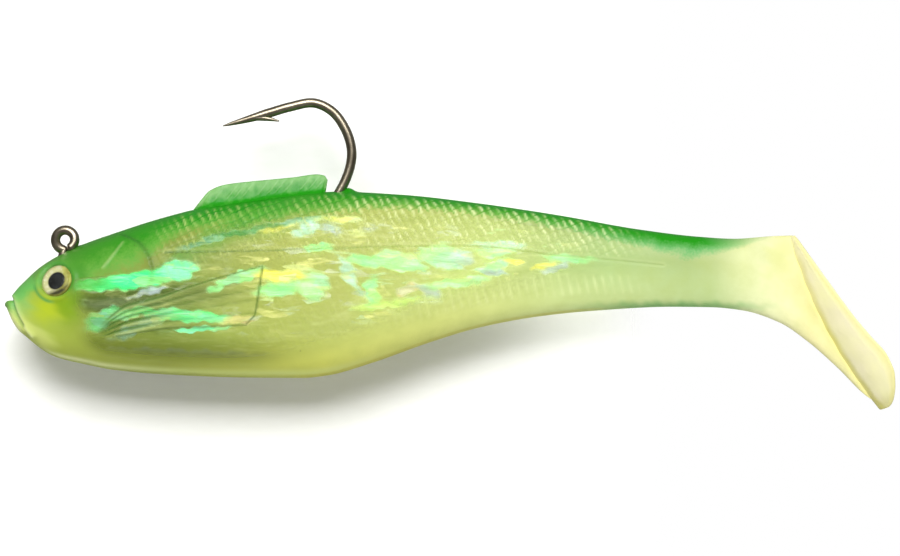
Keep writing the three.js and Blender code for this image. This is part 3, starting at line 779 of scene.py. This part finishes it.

# Each flash is a painted reflection of the lamps in the foil, in the foil's iridescent hues. Columns: its
# colour, centre's x and z, half-length, half-height, tilt in degrees, and strength.
FOIL_REFLECTIONS_AND_SHADE = [
    (LILAC, 10.8, -6.7, 2.2, 0.34, 14, 0.8), (LEAF, 4.8, -5.7, 3, 0.62, 4, 1.2),
    (CYAN, 9.4, -5.2, 3.5, 0.8, 8, 1.4), (SEA, 14.4, -4.1, 1.9, 0.95, 8, 1.35),
    (CYAN, 15, -9.55, 4.2, 0.58, -4, 1.35), (SEA, 18.5, -9.9, 2.4, 0.34, 2, 1),
    ((90, 196, 120), 5, -10, 2.2, 0.85, 25, 1.3), (MINT, 8.4, -9.3, 2, 0.5, 16, 1),
    ((110, 150, 120), 9.6, -10.9, 3.2, 0.6, 24, 1), (SEA, 17.2, -11.25, 2.9, 0.24, 3, 1.4),
    (ROSE, 22, -10.1, 2.2, 0.4, 5, 1), (MINT, 22.2, -4.8, 2.4, 0.5, 18, 1.2),
    (MINT, 19, -6.3, 1.4, 0.34, 14, 0.8), (LEMON, 27.2, -4.7, 2.4, 0.55, -3, 1.15),
    (MINT, 26.6, -6.4, 2.4, 0.7, 4, 0.85), (PALE, 31, -6, 1.5, 1.4, -10, 1.15),
    (MINT, 31.6, -1.2, 1.7, 0.4, 2, 1.15), (MINT, 38, -2.9, 2.4, 0.62, -6, 0.9),
    (PALE, 41.2, -2.5, 2.3, 0.8, -6, 1), (PALE, 42.4, -3.6, 2, 0.4, -4, 1.1),
    (PALE, 46.9, -2.3, 2.2, 1.15, -12, 1.15), (LILAC, 49.3, -2.4, 1.2, 0.9, -20, 0.6),
    (PALE, 53.3, -1.75, 1.7, 0.46, 6, 1.1), (ICE, 53.6, -0.7, 3.2, 0.42, 0, 0.8),
    (PALE, 53.4, -3.3, 1.9, 0.42, 18, 1.1), (LILAC, 53, -4.1, 1.3, 0.3, -10, 0.8),
    (LEMON, 55.9, -2.8, 1, 0.3, -4, 0.9), (LEMON, 59.2, -3.3, 1.3, 0.4, 20, 0.6),
    (LILAC, 45, -6.5, 1.6, 0.55, -18, 0.7),
    (PALE, 48.8, -5.4, 3.4, 0.44, 8, 1.15), (MINT, 38.2, -6.6, 0.8, 1.4, 4, 0.9),
    (ICE, 35.4, -4.6, 2.7, 0.6, -60, 0.7), (LIME, 39.8, -8.2, 4.6, 0.42, 10, 0.7),
    (ICE, 30.2, 1.4, 1.8, 0.7, 40, 0.9), ((228, 232, 124), 34.5, 2.3, 2.3, 0.4, -2, 0.7),
    (LILAC, 33.2, 1, 1.7, 0.8, 0, 0.5), (LILAC, 37.6, 1.4, 1, 0.6, 0, 0.4),
    (LEMON, 26.4, 1.1, 2.2, 0.5, 18, 0.5), ((186, 188, 50), 12.2, -1.6, 1.2, 0.5, 0, 1.1),
    # The two strokes just below are green painted shade under the dorsal fin, not reflections.
    ((84, 150, 112), 17.4, -0.5, 3.2, 0.36, 18, 1.1), ((66, 142, 70), 24.6, 1.2, 5.2, 0.3, 13, 1.2),
    (ROSE, 42.3, -6.3, 1, 0.6, 20, 0.9),
    (MINT, 62.5, -2.4, 3.2, 0.4, -4, 0.8), (LILAC, 60.8, -3.6, 1.5, 0.4, 20, 0.7),
]
# Deep shades in the core: the weight's side and keel, and the shadow above the weight.
SHADES = [
    ((96, 150, 66), 11, -2.4, 7, 2, 14, 0.9), (MOSS, 10, -7.6, 10, 1.5, 3, 1.2),
    (STEEL, 7, -8, 5, 0.6, 3, 0.7), (MOSS, 11, -10.6, 8, 1.2, 2, 0.7),
    ((112, 128, 46), 13, -12.9, 11, 0.9, 0, 0.7),
    (LILAC, 13, -14, 11, 0.34, -2, 0.4), (STEEL, 15, -14.6, 12.5, 0.8, -2, 0.8),
    (MOSS, 17, -15.7, 14, 0.34, 0, 0.6), ((116, 158, 74), 21, 1.6, 10, 2, 10, 0.8),
    ((160, 172, 82), 20, -10, 6, 3, 0, 0.4),
]
# Hues of the plastic: blue-green snout, yellow cheek, pale chin, green behind the eye, a pale patch near the
# fold. Painted shade: green below the dorsal fin's rear foot. Painted shadow: green along the stem's lower
# edge.
SKIN_HUES_AND_SHADE = [
    ((92, 172, 84), -4.9, -6.3, 1.7, 1.1, 48, 0.75), ((122, 176, 96), -5, -8.2, 1, 1.3, 30, 0.45),
    ((172, 186, 30), -1.4, -8.7, 2.1, 1.4, 12, 0.65), ((112, 146, 6), 0.9, -8.2, 1.4, 1.7, 10, 0.9),
    ((204, 214, 120), -3.3, -11.6, 2.6, 0.7, -38, 0.6), ((64, 132, 36), 1.9, -4.6, 1.2, 2.2, 0, 0.9),
    # The two strokes on the next line are painted shade below the dorsal fin.
    ((66, 150, 44), 25, 2.7, 7.5, 1, 27, 0.6), ((70, 146, 44), 20, 0.9, 3, 0.8, 20, 0.5),
    # The first stroke on the next line is painted shadow along the stem's lower edge.
    ((110, 172, 100), 75.5, -8.3, 8.5, 0.5, 0, 0.75), ((206, 208, 134), 88.4, -1.6, 1.3, 3.4, -14, 0.55),
]


def painted(strokes, points, soft):
    """Colour and cover at each point, seen from the side, from slanted strokes with wavering edges."""
    x, z = points[..., 0], points[..., 2]
    wavy_x = x + 0.35 * np.sin(2.1 * z + 0.7 * x) + 0.18 * np.sin(5.3 * z + 1.9 * x)
    wavy_z = z + 0.12 * np.sin(1.7 * x) + 0.08 * np.sin(4.3 * x + 2 * z)
    colour = np.ones(x.shape + (4,))
    colour[..., 3] = 0
    for shade, cx, cz, length, height, tilt, strength in strokes:
        c, s = math.cos(math.radians(tilt)), math.sin(math.radians(tilt))
        dx, dz = wavy_x - cx, wavy_z - cz
        along, across = (dx * c + dz * s) / length, (dz * c - dx * s) / height
        reach = (np.abs(along) ** 2.4 + np.abs(across) ** 2) ** (1 / 2.2)
        cover = np.minimum(strength * (1 - smooth(1 - soft, 1 + soft, reach)), 1)
        old = colour[..., 3]
        total = cover + old * (1 - cover)
        share = np.where(total > 0, cover / np.maximum(total, 1e-6), 1)[..., None]
        colour[..., :3] = colour[..., :3] * (1 - share) + linear(shade) * share
        colour[..., 3] = total
    return colour.reshape(-1, 4)


FOIL_DEPTH, FOIL_THICK = 1.15, 0.08
FOIL_FROM, FOIL_TO = 1.5, 67
FOIL_UP, FOIL_DOWN = 0.72, 0.66  # shares of the way from the widest line to the back and to the belly


def crumpled(x, z, side):
    """Long creases in the foil, in millimetres."""
    waves = (0.11, 0.45, 0.3, 1), (0.23, -0.31, 0.1, 0.6), (0.05, 0.9, 0, 0.4)
    folds = sum(size * np.abs((a * x + b * z + c * side) % 1 - 0.5) for a, b, c, size in waves)
    return 0.45 * (folds - 0.5)


def make_foil(name, side, material):
    x = np.linspace(FOIL_FROM, FOIL_TO, 300)[:, None]
    share = np.linspace(0, 1, 80)[None, :]
    top, foot = back_line(x), belly_line(x)
    middle = foot + WIDEST_AT * (top - foot)
    high = middle + FOIL_UP * (top - middle)
    low = middle - FOIL_DOWN * (middle - foot)
    z = low + (high - low) * share
    x = np.broadcast_to(x, z.shape)
    y = flank_y(x, z) - FOIL_DEPTH + crumpled(x, z, side)
    outer = np.stack([x, side * y, z], -1)
    inner = np.stack([x, side * (y - FOIL_THICK), z], -1)[:, ::-1]
    rings = np.concatenate([outer, inner], 1)
    tint = painted(FOIL_REFLECTIONS_AND_SHADE, rings, 0.8)
    edge = smooth(0, 0.15, share) * smooth(0, 0.15, 1 - share) * smooth(1.5, 4, x) * smooth(66, 58, x)
    edge = edge * (0.4 + 0.6 * smooth(18, 28, x))
    nodes = ["foil_left" if side < 0 else "foil_right"]
    inner = np.concatenate([edge, edge[:, ::-1]], 1)
    return closed_loft(name, rings, material, "foil", nodes, tint=tint, inner=inner)


CORE_DEPTH = 1.7
CORE_ENDS = 14  # rings left off at the nose and at the fan


def make_core(material):
    top, foot, half, bow = sections(8, 300, 4)
    rings = loft(top, foot, half, bow, 160)
    shrink = np.minimum(CORE_DEPTH, 0.62 * np.abs(half[:, None]))[..., None]
    rings = (rings - outward(rings) * shrink)[CORE_ENDS:-CORE_ENDS]
    lift = rings[..., 2] - foot[CORE_ENDS:-CORE_ENDS, None, 1]
    return closed_loft(
        "inner_flesh", rings, material, "soft_body",
        tint=painted(SHADES, rings, 0.6), lift=lift, thin=THIN_PASS * smooth(40, 66, rings[..., 0]),
    )


# ---- paddle
PADDLE_CUP = 0.07
PADDLE_THICK = 1.4
PADDLE_FROM, PADDLE_TO = 0.1, 24.2  # along the fold's line
paddle_half = profile(
    (0.1, 0.6), (0.8, 1.4), (2, 2.4), (5.5, 4.1), (9, 5.15), (12.6, 5.9), (15.5, 6.45), (18, 6.85), (20, 6.6),
    (22, 5.6), (23.3, 4.4), (24, 3.3), (24.2, 2.6),
)


def make_paddle(material):
    turn = np.linspace(-math.pi / 2, math.pi / 2, 90)
    s = 0.5 * (PADDLE_FROM + PADDLE_TO + (PADDLE_TO - PADDLE_FROM) * np.sin(turn))
    angle = turns(128)
    q = np.cos(angle)[None, :]
    face = np.sin(angle)[None, :]
    half = paddle_half(s)[:, None]
    bow = FOLD_BOW * np.sin(math.pi * np.clip(s / FOLD_LENGTH, 0, 1))[:, None]
    thin = np.clip(np.cos(turn), 0.003, 1)[:, None] ** 0.4
    skin = 0.5 * PADDLE_THICK * thin * (1 - 0.4 * q**2) * np.sign(face) * np.abs(face) ** 0.5
    ripple = 0.05 * np.sin(1.9 * s)[:, None] * np.sin(4 * q) * face
    bead = 0.12 * bump(np.abs(q) - 0.9, 0.06) * face
    lift = PADDLE_CUP * (q * half) ** 2 - bow + skin + ripple + bead
    plane = FOLD_TOP + s[:, None, None] * FOLD_RUN + lift[..., None] * FOLD_BACK
    rings = np.stack([plane[..., 0], q * half * (0.9 + 0.1 * thin), plane[..., 1]], -1)
    rim = np.clip(smooth(0.86, 1, np.abs(q)) + smooth(22, 24.2, s)[:, None], 0, 1)
    folded = ((0.3 + 0.45 * smooth(7, 13, s)) * smooth(1.5, 4, s))[:, None]
    crease = folded * (1 - smooth(1.4, 2.7, np.abs(q * half))) * (face < 0)
    nodes = ["tail_paddle"]
    return closed_loft("paddle_plate", rings, material, "soft_tail", nodes, rim=0.65 * rim, crease=crease)


# ---- dorsal fin
FIN_FROM, FIN_TO = 15.7, 32.1
FIN_SUNK = 1.1  # how deep the blade's root lies below the back
fin_crest = profile(
    (15.4, 3.2), (15.9, 3.85), (16.7, 4.9), (17.9, 6.2), (19.7, 6.9), (22.3, 7.25), (24.9, 7.5),
    (28.4, 7.85), (31.2, 8.2), (32.1, 8.05), (32.5, 7.5),
)


def make_dorsal_fin(material):
    x_base = np.linspace(FIN_FROM, FIN_TO, 150)
    lean = 0.4 * smooth(30, FIN_TO, x_base)
    angle = turns(120)
    rise = 0.5 + 0.5 * np.sin(angle)
    side = np.cos(angle)
    crest = fin_crest(x_base + lean)[:, None]
    sunk = (back_line(x_base) - FIN_SUNK)[:, None]
    z = sunk + (crest - sunk) * rise[None, :]
    above = np.clip((z - sunk - FIN_SUNK) / np.maximum(crest - sunk - FIN_SUNK, 0.3), 0, 1)
    x = x_base[:, None] + lean[:, None] * above
    thick = 0.26 + 0.28 * (1 - above) + 0.8 * np.exp(-np.clip(z - sunk - 0.9, 0, 9) / 0.3)
    ends = smooth(15.6, 17.4, x_base) * (1 - 0.6 * smooth(31.7, FIN_TO, x_base))
    ends = np.sqrt(np.clip(ends, 0.04, 1))[:, None]
    lean_in = x - 0.85 * (z - sunk)
    ray = np.abs(np.sin(math.pi * (lean_in + 0.35 * np.sin(1.3 * lean_in)) / 1.3))
    groove = (1 - ray) ** 2 * smooth(0.15, 0.4, above)
    y = side[None, :] * thick * ends * (1 - 0.22 * groove)
    rings = np.stack([x, y, z], -1)
    nodes = ["dorsal_fin"]
    return closed_loft("dorsal_fin_blade", rings, material, "soft_fin", nodes, height=above, groove=groove)


def fin_material():
    def colour(r):
        cloud = r.noise(1.3, 6, stretch=(1, 1, 0.6))
        cloudy = r.plus(r.value("height"), r.times(r.minus(cloud, 0.5), 1.6))
        tint = r.ramp(cloudy, (0.1, *BACK_GREEN), (0.36, 60, 148, 42), (0.9, 112, 174, 88))
        tint = r.mix(r.ramp(r.value("height"), (0.93, 0), (1, 0.75)), tint, (62, 144, 44))
        return r.mix(r.times(r.value("groove"), 0.26), tint, (166, 208, 146))

    def alpha(r):
        return r.ramp(r.value("height"), (0.1, 1), (0.5, 0.82), (1, 0.74))

    return soft_plastic("green_fin", colour, alpha)


# ---- hook
WIRE_R = 0.6
RING_R = 1.22


def sweep(path, radius, sides):
    """Rings round a path in the XZ plane. radius may change along it, and round it with the angle."""
    p = np.asarray(path, float)
    run = np.gradient(p, axis=0)
    run /= np.linalg.norm(run, axis=1, keepdims=True)
    normal = np.stack([-run[:, 2], np.zeros(len(p)), run[:, 0]], 1)
    side = np.cross(run, normal)
    angle = turns(sides)
    r = np.broadcast_to(radius, (len(p), sides))[..., None]
    around = np.cos(angle)[None, :, None] * normal[:, None] + np.sin(angle)[None, :, None] * side[:, None]
    return p[:, None] + r * around


def hook_path():
    """The wire's centreline from the ring's free end to the point's tip, evenly spaced."""
    turn = np.radians(np.linspace(-74, 262, 60))
    cross = np.linspace(-0.95, 0.05, 60)
    ring = np.stack([RING_R * np.cos(turn), cross, RING_R * np.sin(turn)], 1)
    lower = rounded([
        (-0.28, -1.75), (-0.42, -2.8), (-0.3, -4.2), (0.6, -5.3), (3, -5.95 + 0.9), (14, -2.25),
        (26.4, 0.8), (30.3, 2.4), (32.8, 4.4), (34.4, 6.8), (35.3, 9.2), (35.45, 11.4), (34.7, 13.8),
        (33.1, 16), (30.7, 17.1), (27.8, 16.6), (25.4, 15.9), (22.5, 15.05), (19.4, 14.2),
    ], 14)
    lower = np.stack([lower[:, 0], np.zeros(len(lower)), lower[:, 1]], 1)
    path = np.vstack([ring, lower])
    length = np.concatenate([[0], np.cumsum(np.linalg.norm(np.diff(path, axis=0), axis=1))])
    even = np.linspace(0, length[-1], int(length[-1] / 0.16))
    return np.stack([np.interp(even, length, path[:, k]) for k in range(3)], 1), even


def make_hook(material):
    path, along = hook_path()
    left = along[-1] - along
    needle = WIRE_R * (0.03 + 0.97 * np.clip(left / 5.6, 0, 1) ** 0.62)
    blunt = np.sqrt(np.clip(along / 0.3, 0.05, 1))
    rings = sweep(path, (needle * blunt)[:, None], 28)
    nodes = "line_tie_ring", "hook_shank", "hook_bend", "hook_point"
    return closed_loft("hook_wire", rings, material, "hook_wire", nodes)


def make_barb(material):
    """The barb: a flat spike cut from the point's inner side, that leans back along the wire."""
    path, along = hook_path()
    left = along[-1] - along
    root = path[np.argmin(np.abs(left - 4.2))]
    back = path[np.argmin(np.abs(left - 6.3))] - root
    back /= np.linalg.norm(back)
    inner = np.array([-back[2], 0, back[0]])
    inner = inner if inner[2] < 0 else -inner
    t = np.linspace(0, 1, 16)
    line = root + t[:, None] * 2.8 * back + (0.1 + 1.25 * t[:, None] ** 1.3) * inner
    line[:, 1] -= 0.1
    radius = 0.4 * (1 - 0.8 * t**2)[:, None]
    return closed_loft("hook_barb", sweep(line, radius, 16), material, "hook_wire")


def hook_material():
    r = Recipe("black_nickel")
    cloud = r.noise(0.7, 4)
    drawn = r.noise(5, 3)
    tone = r.ramp(cloud, (0.3, 140, 130, 112), (0.55, 162, 152, 132), (0.8, 184, 174, 152))
    worn = r.mix(r.ramp(drawn, (0.58, 0), (0.76, 0.4)), tone, (100, 92, 78))
    return r.principled(worn, r.vary(drawn, 0.16, 0.24), Metallic=1, Normal=r.bumps(drawn, 0.015, 0.4))


# ---- lead weight
lead_back = profile((-3.6, -6.3), (0, -2.9), (4, -1.9), (12, -2.2), (18, -5.6), (24, -9.5), (29, -12.4))
lead_foot = profile((-3.6, -7.7), (0, -11.6), (4, -13.6), (10, -14.7), (18, -15.2), (24, -15), (29, -13.4))
lead_half = profile((-3.6, 0.6), (0, 2.1), (5, 2.4), (12, 2.3), (20, 2), (26, 1.5), (29, 0.5))
LEAD_FROM, LEAD_TO = -3.6, 29


def make_lead(material):
    share = 0.5 - 0.5 * np.cos(np.linspace(0.06, math.pi - 0.06, 70))
    x = LEAD_FROM + (LEAD_TO - LEAD_FROM) * share
    top = np.stack([x, lead_back(x)], 1)
    foot = np.stack([x, lead_foot(x)], 1)
    rings = loft(top, foot, lead_half(x), np.zeros(len(x)), 48)
    flash = 0.12 * bump(rings[..., 1], 0.15)
    rings = rings + outward(rings) * flash[..., None]
    return closed_loft("keel_weight", rings, material, "lead", ["lead_weight"])


def lead_material():
    r = Recipe("cast_lead")
    cast = r.noise(1.6, 5)
    tone = r.ramp(cast, (0.3, 96, 100, 102), (0.7, 140, 143, 142))
    return r.principled(tone, r.vary(cast, 0.3, 0.4), Metallic=0.8, Normal=r.bumps(cast, 0.15, 0.7))


# ---- eyes
EYE_R = 2.02
PUPIL_R = 1.1


def eye_axes(side):
    """The eye's centre on the skin, and its outward, forward and upward directions."""
    step = 0.2
    x, z = EYE
    y = flank_y(x, z)
    dx = (flank_y(x + step, z) - flank_y(x - step, z)) / (2 * step)
    dz = (flank_y(x, z + step) - flank_y(x, z - step)) / (2 * step)
    out = np.array([-dx, side, -dz], float)
    out /= np.linalg.norm(out)
    fore = np.cross([0, 0, 1], out)
    fore /= np.linalg.norm(fore)
    return np.array([x, side * y, z], float), out, fore, np.cross(out, fore)


def turned_piece(name, side, outline, material, slot, cad_node):
    """A piece turned round the eye's axis from an outline of (radius, height), closed at both ends."""
    centre, out, fore, up = eye_axes(side)
    angle = turns(72)
    line = np.array(outline, float)
    ring = np.cos(angle)[:, None] * fore + np.sin(angle)[:, None] * up
    rings = centre + line[:, 1, None, None] * out + line[:, 0, None, None] * ring[None]
    radial = line[:, :1] / EYE_R + 0 * angle
    across, upward = -np.cos(angle) * side * radial, np.sin(angle) * radial
    return closed_loft(name, rings, material, slot, [cad_node], across=across, upward=upward, radial=radial)


def iris_material():
    r = Recipe("gold_iris")
    radial, across = r.value("radial"), r.value("across")
    flecks, fibre = r.noise(1.6, 4), r.noise(6, 2)
    gold = r.ramp(across, (0, 204, 204, 146), (0.4, 184, 184, 92), (1, 150, 150, 30))
    cream = r.times(r.ramp(flecks, (0.5, 0), (0.62, 0.7)), r.ramp(across, (0.3, 1), (0.7, 0.2)))
    gold = r.mix(cream, gold, (222, 220, 186))
    low = r.minus(r.times(across, 0.45), r.value("upward"))
    brown = r.times(r.ramp(low, (0.45, 0), (0.8, 1)), r.ramp(flecks, (0.3, 0.55), (0.5, 1)))
    rust = r.times(r.ramp(across, (0.4, 0), (0.7, 0.7)), r.ramp(flecks, (0.42, 1), (0.56, 0)))
    tone = r.mix(rust, r.mix(brown, gold, (50, 48, 8)), (112, 96, 20))
    tone = r.mix(r.ramp(radial, (0.84, 0), (0.98, 0.45)), tone, (158, 160, 50))
    tone = r.mix(r.ramp(radial, (0.55, 0.6), (0.64, 0)), tone, (60, 56, 24))
    return r.principled(
        tone, r.vary(fibre, 0.3, 0.3), Metallic=r.times(fibre, 0.3), Normal=r.bumps(fibre, 0.05, 0.5),
    )


def pupil_material():
    r = Recipe("black_pupil")
    sheen = r.noise(1.2, 2)
    return r.principled(
        r.ramp(sheen, (0.3, 10, 12, 14), (0.8, 34, 38, 40)), r.vary(sheen, 0.2, 0.3),
        Specular_IOR_Level=0.2,
    )


def lens_material():
    """Clear epoxy: mostly see-through, with a thin share of polished surface."""
    r = Recipe("clear_epoxy")
    dust = r.noise(1.5, 2)
    shine = r.add("BsdfPrincipled", {
        "Base Color": r.ramp(dust, (0.3, 120, 120, 110), (0.8, 150, 150, 138)),
        "Roughness": r.vary(dust, 0.06, 0.02),
        "Metallic": 0.6,
    })
    clear = r.add("BsdfTransparent")
    share = r.vary(dust, 0.02, 0.03)
    mixed = r.add("MixShader", {0: share, 1: clear.outputs[0], 2: shine.outputs[0]})
    return r.finish(mixed)


def dome(radius, low, rim, rise, steps=14):
    arc = np.linspace(0, math.pi / 2, steps)
    top = [(max(radius * math.cos(a), 0.02), rim + rise * math.sin(a)) for a in arc]
    return [(0.02, low), (radius * 0.6, low), (radius, low)] + top


def make_eyes(iris, pupil, lens):
    edge = [(0.02, -0.62), (EYE_R, -0.62), (EYE_R, -0.32)]
    disc = edge + [(1.7, -0.26), (1.2, -0.3), (0.5, -0.32), (0.02, -0.32)]
    parts = (
        ("iris", disc, iris), ("pupil", dome(PUPIL_R, -0.28, -0.24, 0.1), pupil),
        ("lens", dome(EYE_R, -0.1, 0, 0.62), lens),
    )
    return [
        turned_piece(f"{part}_{name}", side, outline, material, part, f"eye_{part}_{name}")
        for name, side in (("left", -1), ("right", 1)) for part, outline, material in parts
    ]


# ---- stage, lights and camera
VIEW_CENTRE = Vector((47.7, 0, -4.7)) * MM
VIEW_WIDTH = 111.6
CAMERA_REACH = 400
CAMERA_DROP = 3  # degrees below level, which shows a little of the keel
PAPER_GAP = 0.5 * MM


def aimed(name, data, place):
    """A camera or lamp at that place, turned to look at the middle of the view."""
    made = add_object(name, data)
    made.location = place
    made.rotation_mode = "QUATERNION"
    made.rotation_quaternion = (VIEW_CENTRE - place).to_track_quat("-Z", "Y")
    return made


def make_camera():
    data = bpy.data.cameras.new("camera")
    data.sensor_width = 36
    data.lens = data.sensor_width * CAMERA_REACH / VIEW_WIDTH
    data.clip_start = 0.01
    drop = math.radians(CAMERA_DROP)
    away = Vector((0, -math.cos(drop), -math.sin(drop))) * CAMERA_REACH * MM
    bpy.context.scene.camera = aimed("camera", data, VIEW_CENTRE + away)


def make_light(name, place, size, power):
    data = bpy.data.lights.new(name, "AREA")
    data.shape = "RECTANGLE"
    data.size, data.size_y = size
    data.energy = power
    return aimed(name, data, Vector(place))


def link_light(lamp, state, *objects):
    """Gives a lamp's light to these objects only (INCLUDE), or keeps it off them (EXCLUDE)."""
    linked = bpy.data.collections.new(lamp.name + "_linked")
    for piece in objects:
        linked.objects.link(piece)
    lamp.light_linking.receiver_collection = linked
    for entry in linked.collection_objects:
        entry.light_linking.link_state = state


PAPER_END = 64 * MM, 74 * MM  # where the paper fades from sight, behind the tail's swing
PAPER_DROP = 110 * MM  # the floor, below the bait
PAPER_CURVE = 40 * MM
PAPER_FRONT, PAPER_TOP = -1.5, 0.9
PAPER_SIDES = -1.5, 1.6


def paper_material():
    """White paper that is seen, and bounces light, from its front only."""
    r = Recipe("paper")
    fibres = r.add("TexNoise", {"Scale": 900, "Detail": 3}).outputs["Fac"]
    tone = r.ramp(fibres, (0.3, 252, 252, 249), (0.7, 255, 255, 253))
    path = r.add("LightPath").outputs
    # Painted reflection: seen in reflections the paper shows dark grey, and in bounced light it is dimmed.
    tone = r.mix(r.times(path["Is Glossy Ray"], 0.85), tone, (30, 30, 30))
    tone = r.mix(r.times(path["Is Diffuse Ray"], 0.5), tone, (60, 62, 56))
    white = r.add("BsdfPrincipled", {"Base Color": tone, "Roughness": 0.9, "Specular IOR Level": 0.1})
    geometry = r.add("NewGeometry").outputs
    x = r.add("SeparateXYZ", {0: geometry["Position"]}).outputs[0]
    inputs = {"Value": x, "From Min": PAPER_END[0], "From Max": PAPER_END[1]}
    faded = r.add("MapRange", inputs, interpolation_type="SMOOTHSTEP").outputs[0]
    unseen = r.larger(geometry["Backfacing"], path["Is Shadow Ray"])
    unseen = r.larger(unseen, r.times(faded, path["Is Camera Ray"]))
    return r.finish(r.partly_clear(unseen, white))


def make_paper():
    """One sheet that is the floor in front and curves up behind the bait, touching its right flank."""
    wall_y = cad_high.y + PAPER_GAP
    floor_z = cad_low.z - PAPER_DROP
    line = [(PAPER_FRONT, floor_z)]
    for turn in np.linspace(0, math.pi / 2, 16):
        y = wall_y - PAPER_CURVE + PAPER_CURVE * math.sin(turn)
        line.append((y, floor_z + PAPER_CURVE - PAPER_CURVE * math.cos(turn)))
    line.append((wall_y, PAPER_TOP))
    points = [(x, y, z) for y, z in line for x in PAPER_SIDES]
    mesh = bpy.data.meshes.new("paper")
    mesh.from_pydata(points, [], grid_faces(len(line), 2, closed=False)[:, ::-1].tolist())
    mesh.materials.append(paper_material())
    mesh.shade_smooth()
    paper = add_object("paper", mesh)
    return paper


def make_world():
    """White where the camera looks past the paper. For light, a soft glow that fades to dark below."""
    r = Recipe("studio", "worlds")
    direction = r.add("TexCoord").outputs["Generated"]
    upward = r.add("SeparateXYZ", {0: direction}).outputs[2]
    glow = r.add("MapRange", {"Value": upward, "From Min": -0.4, "To Min": 0.03, "To Max": 0.24})
    seen = r.add("LightPath").outputs["Is Camera Ray"]
    tone = r.mix(seen, (1, 1, 0.9, 1), (1, 1, 1, 1))
    inputs = {"Color": tone, "Strength": r.larger(seen, glow.outputs[0])}
    bpy.context.scene.world = r.finish(r.add("Background", inputs), "OutputWorld")
    bpy.context.scene.view_settings.view_transform = "Standard"


# ---- assembly
make_camera()
make_world()
paper = make_paper()
KEY_PLACE, KEY_SIZE = (0.03, -0.56, 0.36), (0.55, 0.36)
make_light("key", KEY_PLACE, KEY_SIZE, 5.3)
paper_key = make_light("paper_key", KEY_PLACE, KEY_SIZE, 1.6)
front_fill = make_light("front_fill", (-0.05, -0.6, -0.12), (0.8, 0.5), 1.9)
make_light("back_fill", (0.1, 0.6, 0.25), (0.6, 0.6), 0.6)

foil = foil_material()
for piece in (
    make_skin(soft_plastic("plastisol_skin", skin_colour, skin_alpha)), make_core(flesh_material()),
    make_foil("foil_sheet_left", -1, foil), make_foil("foil_sheet_right", 1, foil),
):
    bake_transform(piece)

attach(make_paddle(soft_plastic("pale_tail", tail_colour, tail_alpha)), "paddle")
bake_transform(make_dorsal_fin(fin_material()))

wire = hook_material()
hook, barb = make_hook(wire), make_barb(wire)
link_light(front_fill, "EXCLUDE", paper, hook, barb)
link_light(paper_key, "INCLUDE", paper)
lead = make_lead(lead_material())
for piece in (hook, barb, lead, *make_eyes(iris_material(), pupil_material(), lens_material())):
    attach(piece, "body")
